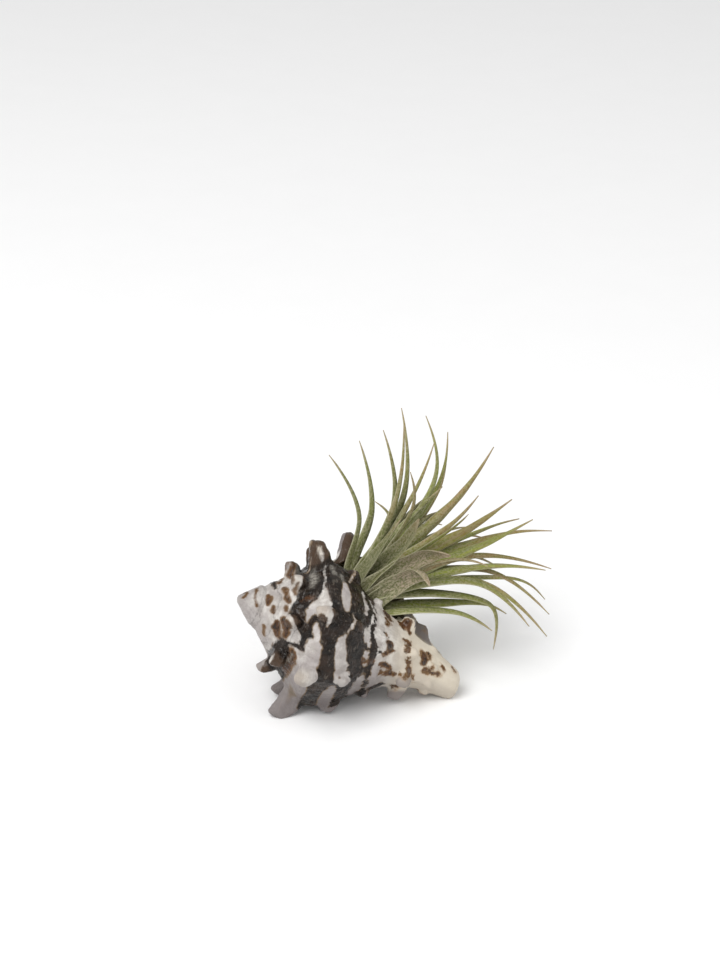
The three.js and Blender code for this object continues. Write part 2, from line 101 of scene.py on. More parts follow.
# Front leaves, x and y being where the eye sees them in the picture: the tip's x and y, how far
# forward of the heart it lies, the elbow's x and y, the gate towards the canal, and the width.
FRONT_LEAVES = [
    (329, 454.8, 14, 360, 514, -8.3, 4.8), (359.4, 440.6, -6, 373.4, 509, -6.2, 5.6),
    (375, 501.3, 4, 390.3, 518, -4.2, 6), (383.4, 430, 0, 396, 504, -2.6, 5.8),
    (401.7, 408, -8, 406.4, 490, -1.2, 5), (404, 425, 3, 397.8, 498, -2.2, 5),
    (410.5, 472, 18, 413.6, 507, -1.2, 5.8), (419.4, 519, 30, 407, 544, -2, 5.2),
    (434.4, 443, -4, 418.8, 485, -1, 3.8), (426, 415.6, -8, 437, 475, 0.5, 4.6),
    (448, 432, -14, 440, 483, 0.5, 4.4), (447, 450, -22, 438.6, 491, 0.5, 3.8),
    (493.9, 447, -10, 461.5, 494.5, 0.5, 6), (478.6, 495.7, 13, 455, 522, 1, 5),
    (468.6, 514.3, 20, 452, 529, 1, 4.4), (512, 499.3, 4, 469, 528.5, -0.3, 7.6),
    (519.3, 518.6, -12, 485.7, 528.3, 0, 3.6), (532.9, 519.3, 8, 491.4, 540, 2, 6.8),
    (552, 530.7, -6, 498.6, 534.3, 0, 5.2), (551.4, 568.6, -10, 475, 554.3, 0.5, 5.2),
    (545.7, 570, 6, 482, 565, 1.5, 7.4), (549.3, 614.3, 0, 485, 568.5, 0, 5.6),
    (545, 599.3, -18, 517, 578.6, 2.5, 4.2), (547, 636.4, 8, 481.5, 581, 1.6, 6.8),
    (529.3, 626.4, 18, 477, 581, 2.2, 8.4), (493.6, 649.3, 12, 491.6, 604.4, 2, 8.2),
    (506.4, 613.6, -3, 482, 602.5, 7.4, 7.4), (492, 630.7, 20, 457, 611.4, 7.5, 8),
    (430, 586, 36, 418.5, 572, 2, 5.2), (450.5, 555.5, 34, 426, 554.5, -0.5, 5.2),
    (401, 519, 26, 380, 552, -3.4, 8), (488, 566, 26, 450, 559.5, 1, 7.6),
]

BLUNT_LEAVES = (7, 28, 29)  # rows that end blunt, the others taper
MAUVE_LEAVES = {7: 0.3, 28: 0.85, 29: 0.85}  # how mauve these rows are
PLAIN_MAUVE = 0.15  # and all the others


# ---- small helpers ----

def curve_through(points):
    """A smooth curve through points that keeps their rises and falls."""
    xs, ys = np.array(points, float).T
    slopes = np.diff(ys) / np.diff(xs)
    before, after = slopes[:-1], slopes[1:]
    same_way = before * after > 0
    total = np.where(same_way, before + after, 1.0)
    inner = np.where(same_way, 2 * before * after / total, 0.0)
    tangents = np.concatenate([slopes[:1], inner, slopes[-1:]])

    def curve(x):
        x = np.clip(x, xs[0], xs[-1])
        i = np.clip(np.searchsorted(xs, x, side="right") - 1, 0, len(xs) - 2)
        span = xs[i + 1] - xs[i]
        t = (x - xs[i]) / span
        rise = 3 * t**2 - 2 * t**3
        return ((1 - rise) * ys[i] + rise * ys[i + 1]
                + (t**3 - 2 * t**2 + t) * span * tangents[i]
                + (t**3 - t**2) * span * tangents[i + 1])

    return curve


def bell(x, width):
    return np.exp(-((x / width) ** 2))


def smooth(x, low, high):
    t = np.clip((x - low) / (high - low), 0, 1)
    return t * t * (3 - 2 * t)


def unit(vector):
    return vector / np.linalg.norm(vector, axis=-1, keepdims=True)


def seeded_draw(seed):
    """A repeatable random draw."""
    state = seed
    while True:
        state = (state * 1664525 + 1013904223) % 4294967296
        yield state / 4294967296


def lumps(points, scale, offset=0.0, octaves=2):
    """Smooth noise at points, about -1 to 1."""
    shift = Vector((offset, offset * 0.7, -offset))
    return np.array([
        noise.fractal(Vector(p) * scale + shift, 1.0, 2.0, octaves) for p in points.tolist()
    ])


def object_of(name, points, faces, marks=None):
    """A smooth-shaded object from points in millimetres, with its named marks on the points."""
    mesh = bpy.data.meshes.new(name)
    mesh.from_pydata((np.asarray(points) * MM).tolist(), [], faces)
    mesh.polygons.foreach_set("use_smooth", [True] * len(mesh.polygons))
    for mark, values in (marks or {}).items():
        layer = mesh.attributes.new(mark, "FLOAT", "POINT")
        layer.data.foreach_set("value", np.asarray(values, np.float32))
    mesh.update()
    made = bpy.data.objects.new(name, mesh)
    bpy.context.scene.collection.objects.link(made)
    return made


def loft(rings):
    """Points and faces of a closed body through rings of the same count."""
    rings = np.asarray(rings)
    count, around = rings.shape[:2]
    points = rings.reshape(-1, 3)
    faces = []
    for i in range(count - 1):
        for j in range(around):
            k = (j + 1) % around
            faces.append((i * around + j, i * around + k, (i + 1) * around + k, (i + 1) * around + j))
    middles = [rings[0].mean(0), rings[-1].mean(0)]
    first, last = len(points), len(points) + 1
    base = (count - 1) * around
    for j in range(around):
        k = (j + 1) % around
        faces.append((first, k, j))
        faces.append((last, base + j, base + k))
    return np.vstack([points, middles]), faces


def join_bodies(bodies):
    """One list of points and faces out of several."""
    points, faces, start = [], [], 0
    for body_points, body_faces in bodies:
        points.append(body_points)
        faces.extend(tuple(i + start for i in face) for face in body_faces)
        start += len(body_points)
    return np.vstack(points), faces


def turn_outwards(made):
    """Points each body's faces outwards."""
    bm = bmesh.new()
    bm.from_mesh(made.data)
    bmesh.ops.recalc_face_normals(bm, faces=bm.faces)
    bm.to_mesh(made.data)
    bm.free()


def apply_modifier(made, kind, **settings):
    modifier = made.modifiers.new(kind.lower(), kind)
    for name, value in settings.items():
        setattr(modifier, name, value)
    bpy.context.view_layer.objects.active = made
    with bpy.context.temp_override(object=made, active_object=made, selected_objects=[made]):
        bpy.ops.object.modifier_apply(modifier=modifier.name)


def points_of(made):
    flat = np.empty(len(made.data.vertices) * 3, np.float64)
    made.data.vertices.foreach_get("co", flat)
    return flat.reshape(-1, 3) / MM


def normals_of(made):
    flat = np.empty(len(made.data.vertices) * 3, np.float64)
    made.data.vertices.foreach_get("normal", flat)
    return flat.reshape(-1, 3)


# ---- the shell's surface ----

SHELL_AXIS = np.array([math.cos(AXIS_DIP), 0, -math.sin(AXIS_DIP)])
SHELL_UP = np.array([math.sin(AXIS_DIP), 0, math.cos(AXIS_DIP)])
SHELL_FRONT = np.array([0.0, -1, 0])
body_radius = curve_through(BODY_OUTLINE)
canal_radius = curve_through(CANAL_OUTLINE)


def radial(angle):
    turn = np.radians(np.asarray(angle, float))[..., None]
    return SHELL_UP * np.cos(turn) + SHELL_FRONT * np.sin(turn)


def bend_at(along):
    share = np.maximum(0, along - CANAL_BEND_START) / (SHELL_LENGTH - CANAL_BEND_START)
    return CANAL_BEND * share**2


def shell_point(along, angle, radius):
    along, angle, radius = np.broadcast_arrays(along, angle, radius)
    return (APEX + along[..., None] * SHELL_AXIS - bend_at(along)[..., None] * SHELL_UP
            + radius[..., None] * radial(angle))


def growth_at(angle, whorl):
    return np.mod(angle - LIP_ANGLE, 360) / 360 - 1 - whorl


def size_at(growth):
    return WHORL_GROWTH ** growth


def outline_place(along, size):
    share = (along - BODY_END * size) / (SHELL_LENGTH - BODY_END * size)
    return np.where(along <= BODY_END * size, along / size,
                    BODY_END + share * (SHELL_LENGTH - BODY_END))


def along_for(place, size):
    share = (place - BODY_END) / (SHELL_LENGTH - BODY_END)
    return np.where(place <= BODY_END, place * size,
                    BODY_END * size + share * (SHELL_LENGTH - BODY_END * size))


def whorl_radius(along, size):
    place = outline_place(along, size)
    share = (place - BODY_END) / (SHELL_LENGTH - BODY_END)
    drop = size * body_radius(BODY_END) - canal_radius(BODY_END * size)
    radius = np.where(place <= BODY_END, size * body_radius(place),
                      canal_radius(along) + drop * (1 - share) ** 3)
    return np.where(place < BODY_OUTLINE[0][0], 0, radius)


def lip_flare(growth, place):
    return LIP_FLARE * bell(growth, 0.05) * bell(place - 58, 14)


def off_varix(growth):
    """Signed degrees from the nearest varix, and which one it is."""
    gaps = growth[..., None] * 360 - VARIX_TURNS
    nearest = np.abs(gaps).argmin(-1)
    return np.take_along_axis(gaps, nearest[..., None], -1)[..., 0], nearest


def whorl_relief(along, growth):
    size = size_at(growth)
    place = outline_place(along, size)
    gap, _ = off_varix(growth)
    varix = bell(gap / VARIX_SPACING, VARIX_WIDTH)
    strength = 0.35 + 0.65 * bell(place - 36, 13)
    relief = size * VARIX_HEIGHT * strength * (varix - 0.25)
    for at, width, height, _, _, _ in CORDS:
        relief = relief + (size * height * CORD_HEIGHT * bell(place - at, width)
                           * (0.6 + 0.4 * varix))
    relief = relief + lip_flare(growth, place)
    return relief * np.clip((SHELL_LENGTH - along) / 8, 0, 1)


def shell_radius(along, angle):
    """The outer radius, and the growth of the whorl that shows there."""
    along, angle = np.broadcast_arrays(np.asarray(along, float), np.asarray(angle, float))
    radius = np.where(along < PLAIN_TIP, 0.35 + 1.02 * np.maximum(along, 0) ** 0.95, 0)
    shown = growth_at(angle, WHORL_COUNT - 1)
    for whorl in range(WHORL_COUNT):
        growth = growth_at(angle, whorl)
        plain = whorl_radius(along, size_at(growth))
        full = np.where(plain > 0, plain + whorl_relief(along, growth), 0)
        shown = np.where(full > radius, growth, shown)
        radius = np.maximum(radius, full)
    return radius, shown


def shell_outside():
    along = np.concatenate([np.arange(0.4, 79, 0.5), [79.2, 79.6, 80]])
    angle = LIP_ANGLE + 0.8 + 359.1 * np.arange(361) / 360
    radius, _ = shell_radius(along[:, None], angle[None])
    return loft(shell_point(along[:, None], angle[None], radius))


def shell_spine(angle, size, at, length, root, lean, twist):
    """A blunt fluted spine that stands on a varix and leans towards the apex."""
    along = float(along_for(at, size))
    reach = float(whorl_radius(along, size))
    sunk = min(3, reach * 0.3)
    lean = math.radians(lean)
    outward, tangent = radial(angle), radial(angle + 90)
    axial = unit(SHELL_AXIS + outward * math.tan(lean) * 0.5)
    turns = np.linspace(0, 2 * math.pi, 18, endpoint=False)
    flutes = 1 + 0.07 * np.cos(3 * turns + twist) + 0.05 * np.cos(5 * turns - 2 * twist)
    rings = []
    for t in np.linspace(0, 1, 15):
        out = -sunk + (length * size + sunk) * math.sin(t * math.pi / 2) ** 0.9
        back = math.tan(lean) * max(0, out) * (0.5 + 0.5 * t)
        taper = np.interp(t, [0, 0.25, 0.5, 0.75, 0.93, 1], [1, 0.95, 0.84, 0.7, 0.5, 0.3])
        width = root * size ** 0.45 * taper * flutes
        sway = 0.35 * size * math.sin(3.1 * t + twist) * t
        centre = shell_point(along - back, angle, reach + out) + axial * sway
        rings.append(centre + np.outer(np.cos(turns) * width, axial)
                     + np.outer(np.sin(turns) * width * 0.8, tangent))
    return loft(rings)


def shell_spines():
    draw = seeded_draw(23)
    spines = []
    for varix in range(VARIX_COUNT):
        size = size_at(VARIX_TURNS[varix] / 360)
        angle = LIP_ANGLE + VARIX_TURNS[varix] - 2
        at, length, root, lean, turn = SHOULDER_SPINES.get(varix, (CORDS[0][0], *CORDS[0][3:], 0))
        twist = 6.28 * next(draw)
        spines.append(shell_spine(angle + turn, size, at, length, root, lean, twist))
        for at, _, _, length, root, lean in CORDS[1:]:
            twist = 6.28 * next(draw)
            if VARIX_TURNS[varix] >= -360:
                spines.append(shell_spine(angle, size, at, length, root, lean, twist))
    return spines


def shell_hollow():
    """The room inside the last whorl, from the mouth back into the coil."""
    rings = []
    for turn in np.concatenate([np.arange(8, -20, -3), np.arange(-22, -236, -6)]):
        growth = turn / 360
        size, inner = size_at(growth), size_at(growth - 1)
        along = np.linspace(HOLLOW_START * size, float(along_for(HOLLOW_END, size)), 25)
        place = along / size
        outer = whorl_radius(along, size) + lip_flare(growth, place) * 0.9 - WALL
        parietal = whorl_radius(along, inner) + 0.9
        open_share = smooth(place, 34, 46)
        deep = parietal + (COLUMELLA_RADIUS - parietal) * open_share
        half = np.maximum(0.5, (outer - deep) / 2)
        ends = np.abs(np.linspace(-1, 1, 25))
        half = half * (1 - 0.75 * np.clip((ends - 0.86) / 0.14, 0, 1) ** 2)
        middle = (outer + deep) / 2
        far = shell_point(along, LIP_ANGLE + turn, middle + half)
        near = shell_point(along, LIP_ANGLE + turn, middle - half)
        rings.append(np.vstack([far, near[::-1]]))
    return loft(rings)


def canal_groove():
    rings = []
    for along in np.arange(GROOVE_START, GROOVE_END + 1, 2.0):
        share = (along - GROOVE_START) / (GROOVE_END - GROOVE_START)
        angle = LIP_ANGLE + 3 + 15 * share
        across = radial(angle + 90) * 1.5
        floor = shell_point(along, angle, 4.5 - 3.7 * share)
        rim = shell_point(along, angle, 22.0)
        rings.append([floor + across, floor - across, rim - across, rim + across])
    return loft(rings)


def table_block():
    corners = [(-150, -150), (150, -150), (150, 150), (-150, 150)]
    return loft([[(x, y, z) for x, y in corners] for z in (-40, 0.0)])


def shell_coordinates(points):
    """Where points lie on the shell: along, angle, radius."""
    from_apex = points - APEX
    along = from_apex @ SHELL_AXIS
    upward = from_apex @ SHELL_UP + bend_at(along)
    forward = from_apex @ SHELL_FRONT
    return along, np.degrees(np.arctan2(forward, upward)), np.hypot(upward, forward)


# ---- the view, and the places that are seen in it ----

PICTURE_WIDTH, PICTURE_HEIGHT = 720, 960  # pixels
FOCAL = 2325.0  # pixels
EYE_DISTANCE = 750.0
LOOK_DOWN = math.radians(30)
APEX_SEEN_AT = (236.0, 597.5)
SENSOR = 36  # millimetres, on the picture's longer side
TO_VIEWER = np.array([0, -math.cos(LOOK_DOWN), math.sin(LOOK_DOWN)])


def view_frame():
    """The eye, and its right, up and ahead, with the shell's apex where it is seen."""
    right = np.array([1.0, 0, 0])
    ahead = -TO_VIEWER
    up = np.cross(right, ahead)
    eye = APEX - EYE_DISTANCE * ahead
    lift = math.atan((APEX_SEEN_AT[1] - PICTURE_HEIGHT / 2) / FOCAL)
    ahead = math.cos(lift) * ahead + math.sin(lift) * up
    up = np.cross(right, ahead)
    swing = math.atan((APEX_SEEN_AT[0] - PICTURE_WIDTH / 2) / FOCAL)
    right, ahead = (math.cos(swing) * right + math.sin(swing) * ahead,
                    math.cos(swing) * ahead - math.sin(swing) * right)
    return eye, right, up, ahead


EYE, EYE_RIGHT, EYE_UP, EYE_AHEAD = view_frame()


def sight(x, y):
    """The way from the eye through a place in the picture."""
    return (EYE_AHEAD * FOCAL + EYE_RIGHT * (x - PICTURE_WIDTH / 2)
            - EYE_UP * (y - PICTURE_HEIGHT / 2))


def seen_forward(x, y, forward):
    """The place that is seen there, so far forward of the plant's heart."""
    way = sight(x, y)
    return EYE + way * ((HEART - EYE) @ TO_VIEWER + forward) / (way @ TO_VIEWER)


def surface_of(node):
    """The surface of one of the frame's solids."""
    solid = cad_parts[node]
    corners = [solid.matrix_world @ vertex.co for vertex in solid.data.vertices]
    return BVHTree.FromPolygons(corners, [tuple(face.vertices) for face in solid.data.polygons])


SHELL_SURFACE = surface_of("murex_shell")


def wrapped(angle):
    """The angle round the shell, counted from its back, -90 to 270."""
    return (angle + 90) % 360 - 90


def on_shell(x, y):
    """Along and angle of the place on the shell that is seen there, or of the nearest to it."""
    place, _, _, _ = SHELL_SURFACE.ray_cast(Vector(EYE * MM), Vector(sight(x, y)).normalized())
    if place is None:
        place, _, _, _ = SHELL_SURFACE.find_nearest(Vector(seen_forward(x, y, 0) * MM))
    along, angle, _ = shell_coordinates(np.array(place) / MM)
    return along, wrapped(angle)


def seen(tone, *points):
    """A brush stroke that is given by x, y and half-width in the picture."""
    return tone, *[(*on_shell(x, y), half) for x, y, half in points]


# ---- the shell's markings ----

# Dark spiral bands: place on the full-grown whorl, half-width, how far they swell on a varix,
# and how broken they are.
DARK_BANDS = [
    (38.0, 3.2, 2.2, 0.1),
    (47.9, 3.2, 1.5, 0.2),
    (54.7, 1.6, 0.8, 0.4),
    (58.9, 0.9, 0.7, 0.9),
    (64.2, 0.7, 0.5, 1.2),
    (69.5, 0.2, 0.5, 1.4),
]
# How strongly the bands run together over each varix, from the lip back.
BAND_JOINS = [0.5, 0.7, 0.4, 0.1, 0.1, 1.1, 1.2, 0.8]
OTHER_JOINS = 0.3
FAR_OUTSIDE = -9.0  # how deep a place far from a stroke counts as lying in it
# Where the front of the last whorl turns dark, along and angle, and where it turns pale again.
SHOULDER_EDGE = [
    (17.2, -90), on_shell(296.7, 572.2), on_shell(295.6, 601.1), on_shell(291.7, 604.4),
    on_shell(291.1, 615.6), on_shell(295.6, 624.4), on_shell(301.1, 635.6), (21.5, 95), (20.5, 120),
]
PALE_EDGE = [
    (41, -60), (42.5, 0), (43.5, 20), on_shell(373.2, 635), on_shell(377, 644.3),
    on_shell(377.5, 652), on_shell(368.9, 675.5), (46, 125),
]
WHITE, DARK, RUSTY, FADED = -1, 1, 2, 3
# Marks of the front, as strokes of a brush. Those that the eye sees whole are given by where it
# sees them, the others by tone, then along, angle and half-width on the way.
STROKES = [
    # the cream streak of the tall spine, and the thread that runs down from it
    seen(WHITE, (315.3, 547.8, 0.1), (317.5, 550.8, 0.3), (320.8, 556.7, 0.25), (322.4, 560, 0.1)),
    seen(WHITE, (323.8, 567.5, 0.1), (324.6, 576.7, 0.15), (324.6, 585, 0.2), (324.6, 588.3, 0.35)),
    # the diamond, with its two tails round a brown hood, and the tongue under the hood
    seen(WHITE, (325, 588.9, 0.5), (324.4, 596.7, 1.4), (322.2, 604.4, 2.6), (323.2, 608.8, 2.6)),
    seen(WHITE, (317.2, 605.8, 2.2), (310.3, 612.3, 1.5), (307, 620.9, 0.7)),
    seen(WHITE, (326.7, 606.7, 2.0), (330, 614.6, 1.1), (326.9, 626.5, 0.4)),
    seen(DARK, (309.4, 632.2, 0.7), (310.6, 623.3, 0.8), (315.8, 617.1, 0.8), (321.9, 621, 0.9),
         (323.6, 631, 0.9)),
    seen(WHITE, (315.6, 623.3, 0.6), (316.1, 631.1, 1.2), (316.4, 638.9, 1.1)),
    # the white finger
    seen(WHITE, (313.9, 646.7, 2.5), (310.5, 658.7, 2.9), (303.2, 673.5, 3.2), (298, 682.8, 3.2),
         (284, 700, 3.4)),
    seen(FADED, (290.5, 685.5, 0.6), (292.3, 691, 1.4), (290.3, 692, 0.8)),
    # the second white patch, with the thread above it and the curl below
    (WHITE, (34.5, -34, 0.3), (32.6, -9, 0.4)),
    seen(WHITE, (352.2, 576.7, 0.4), (348.9, 582.8, 0.4)),
    seen(WHITE, (345, 584.8, 1.3), (345.9, 593.5, 1.8), (346.1, 602.2, 1.8), (346.5, 608.7, 1.2)),
    seen(WHITE, (352.2, 614.4, 0.25), (354.4, 620, 0.3), (352.2, 626.7, 0.35), (347.8, 632.2, 0.45)),
    # the long patch, which ends in two legs
    seen(WHITE, (344.7, 635.7, 0.9), (341.1, 641.1, 1.7), (340.2, 652.2, 2.1), (340.6, 664.4, 2.1),
         (340.9, 670, 2.2)),
    seen(WHITE, (337.2, 672.2, 1.2), (335.3, 681.3, 0.8)),
    seen(WHITE, (345, 672.2, 1.0), (345.8, 680.8, 0.7)),
    # narrow streaks towards the mouth
    seen(WHITE, (362, 591, 0.3), (363.9, 598.9, 0.8), (366.4, 607.8, 1.0), (365, 612.8, 0.7)),
    seen(WHITE, (369.5, 600.8, 0.3), (372.8, 608.9, 0.5), (376.7, 615.6, 0.8), (379.8, 622.2, 0.8),
         (377.8, 632.2, 1.2)),
    seen(WHITE, (372.8, 614.4, 0.25), (371.7, 622.2, 0.35), (369.1, 628.9, 0.5)),
    seen(WHITE, (366, 629.5, 0.9), (366.4, 637.8, 1.4), (366.9, 645.6, 1.1), (365.8, 654.4, 1.2),
         (363.9, 664.4, 0.7)),
    seen(WHITE, (360.9, 676.7, 1.2), (356.7, 684.4, 1.7), (355, 690, 1.8)),
    seen(WHITE, (331.7, 686.8, 1.2), (328, 695, 1.8), (322, 706, 1.8)),
    # ridges of growth that cross the streaks
    (DARK, (39.6, 63, 0.3), (42.5, 68, 0.5), (46.5, 69, 0.5), (47.8, 68, 0.3)),
    (DARK, (47.3, 40, 0.3), (49.0, 43, 0.4)),
    (RUSTY, (42.0, 80, 0.3), (42.9, 85, 0.4), (46.8, 82, 0.3)),
    # brown spots where the bands fade out
    (RUSTY, (47.6, -8, 0.9), (48.0, -1, 1.4)),
    seen(RUSTY, (387.2, 614.8, 1.4), (389.9, 619.1, 1.0)),
    seen(RUSTY, (386.1, 618.4, 0.7), (389.4, 623, 0.8), (386.7, 624.4, 0.7)),
    seen(RUSTY, (386.1, 634.4, 0.5), (386.9, 637.5, 0.4)),
    seen(RUSTY, (387.3, 641, 0.6), (390.6, 644.4, 0.9), (387.5, 647.7, 0.5)),
    seen(RUSTY, (383.2, 654.4, 0.6), (389.4, 652.2, 0.8), (393.5, 650.9, 0.5)),
    seen(RUSTY, (381, 664, 0.7), (386.1, 665.6, 1.0), (389.2, 668.5, 0.7)),
    seen(RUSTY, (379.4, 673.2, 0.6), (385.3, 673.7, 0.9), (388.9, 673.2, 0.8), (392.8, 674.8, 0.5)),
    # the dotted line
    seen(RUSTY, (398.9, 621.6, 0.7), (403.3, 626.5, 1.5), (407.2, 628.3, 1.0), (409, 633.3, 0.5)),
    seen(RUSTY, (403, 639.6, 0.4), (407.8, 641.7, 0.8), (409.9, 645.5, 0.5)),
    seen(RUSTY, (405.2, 646.8, 0.7), (407.8, 650.2, 0.6)),
    seen(RUSTY, (407.3, 657.2, 0.3), (407.3, 662.1, 0.8), (407.2, 665.6, 0.5)),
    seen(RUSTY, (407.8, 667.6, 0.7), (408.1, 672.7, 0.8)),
    seen(RUSTY, (400.7, 677.5, 0.5), (405.4, 677.2, 0.7)),
    seen(RUSTY, (411.1, 677.2, 0.4), (412.8, 678.9, 0.4)),
    # rust on the canal
    (RUSTY, (61.8, -44, 0.8), (63.7, -40, 1.5), (65.2, -38, 0.9), (63.9, -30, 0.7)),
    seen(RUSTY, (422.9, 653.8, 0.9), (423.9, 658.5, 1.4), (423.2, 662.4, 0.8)),
    seen(RUSTY, (427.8, 653, 0.7), (429.4, 657.8, 0.6)),
    seen(RUSTY, (423.9, 669.4, 0.4), (428.3, 669.4, 0.5), (431.7, 667.2, 0.4)),
    seen(RUSTY, (421.5, 671.2, 0.2), (431.7, 672.8, 0.25), (439.4, 673.9, 0.2)),
    seen(RUSTY, (441.7, 665.5, 0.6), (443.3, 669, 0.5)),
    seen(RUSTY, (452.3, 667.6, 0.3), (453.9, 670.3, 0.35)),
    # the spire
    (DARK, (9.4, -32, 0.6), (9.6, -16, 0.6)),
    seen(DARK, (272.8, 583.9, 0.6), (274.8, 589.1, 0.4)),
    seen(RUSTY, (267.2, 595.6, 0.5), (268.3, 600, 0.9), (266.7, 604.4, 0.5)),
    seen(RUSTY, (272.8, 606.7, 0.4), (272.3, 611.6, 0.45)),
    (RUSTY, (11.8, -40, 0.3), (12.0, -21, 0.35)),
    seen(RUSTY, (281.7, 580, 0.35), (279, 582.9, 0.3)),
    (RUSTY, (13.2, -40, 0.6), (14.0, -26, 0.7)),
    seen(RUSTY, (290.6, 571.1, 0.7), (291.2, 578.4, 0.4)),
    seen(RUSTY, (283.1, 587.2, 0.4), (285.3, 592.2, 0.55), (286.7, 597.8, 0.6), (288.8, 602.2, 0.4)),
    seen(RUSTY, (293, 589.9, 0.25), (294.9, 594.4, 0.25)),
    seen(RUSTY, (285.7, 606.7, 0.3), (285.6, 610.2, 0.3)),
    seen(RUSTY, (263.6, 625.7, 0.3), (263.6, 633.3, 0.3)),
    seen(RUSTY, (277.2, 621.7, 0.8), (275.6, 627.8, 1.3), (277, 633.9, 0.9)),
    seen(RUSTY, (286.1, 622.4, 0.9), (287.2, 627.8, 1.4), (284.8, 635, 0.9)),
    seen(RUSTY, (255.8, 589, 0.16), (253.9, 597.8, 0.18), (256.2, 605.7, 0.16)),
    (RUSTY, (2.2, -40, 0.25), (2.5, 10, 0.3), (1.6, 40, 0.2)),
    seen(WHITE, (292.6, 629.8, 0.8), (293.9, 636.7, 0.9), (296.5, 641.2, 0.5)),
    # the dark flank under the spire
    seen(DARK, (278.7, 636.6, 0.5), (283.3, 641.7, 0.5), (292.2, 643.9, 0.6), (302, 647.9, 0.8)),
    (DARK, (17.4, 99, 1.6), (18.2, 108, 3.2), (19.0, 124, 3.8), (19.4, 150, 3.6)),
    (DARK, (16.2, 112, 1.2), (16.6, 136, 2.0), (17.0, 178, 2.4)),
    seen(RUSTY, (291.9, 649.9, 0.8), (293, 655.3, 1.0), (288.7, 664.3, 1.1), (284.7, 670.9, 1.0)),
    (FADED, (20.6, 101, 0.1), (20.4, 114, 0.3)),
    (WHITE, (12.6, 106, 1.9), (13.2, 118, 1.7), (14.2, 136, 1.0), (14.8, 150, 0.4)),
    (DARK, (16.0, -44, 1.0), (16.2, -26, 1.0), (16.9, -8, 0.6)),
    # worn places on the dark shoulder
    seen(RUSTY, (312.2, 597.8, 0.4), (304.4, 598.9, 0.6), (302.2, 600, 0.4)),
    (FADED, (19.4, -2, 0.4), (20.2, 4, 0.8), (20.1, 12, 0.9), (19.6, 20, 0.4)),
    (FADED, (15.8, -26, 0.2), (16.8, -20, 0.25), (18.0, -14, 0.2)),
    seen(FADED, (331.6, 567.8, 0.5), (334.4, 573.8, 0.6)),
    (FADED, (28.0, 2, 0.4), (28.6, 10, 0.4)),
    (RUSTY, (22.4, -12, 0.5), (25.6, -20, 0.5), (28.6, -30, 0.4)),
]


def edge_at(wrap, edge):
    alongs, angles = np.array(edge).T
    return np.interp(wrap, angles, alongs)


def stroke_field(along, wrap, radius, stroke):
    """How deep each point lies in a brush stroke, in millimetres, negative outside it."""
    field = np.full(len(along), FAR_OUTSIDE)
    per_degree = np.radians(radius)
    for (x0, turn0, half0), (x1, turn1, half1) in zip(stroke, stroke[1:]):
        step_x, step_y = x1 - x0, (turn1 - turn0) * per_degree
        off_x, off_y = along - x0, (wrap - turn0) * per_degree
        share = np.clip((off_x * step_x + off_y * step_y) / (step_x**2 + step_y**2), 0, 1)
        away = np.hypot(off_x - share * step_x, off_y - share * step_y)
        field = np.maximum(field, half0 + (half1 - half0) * share - away)
    return field


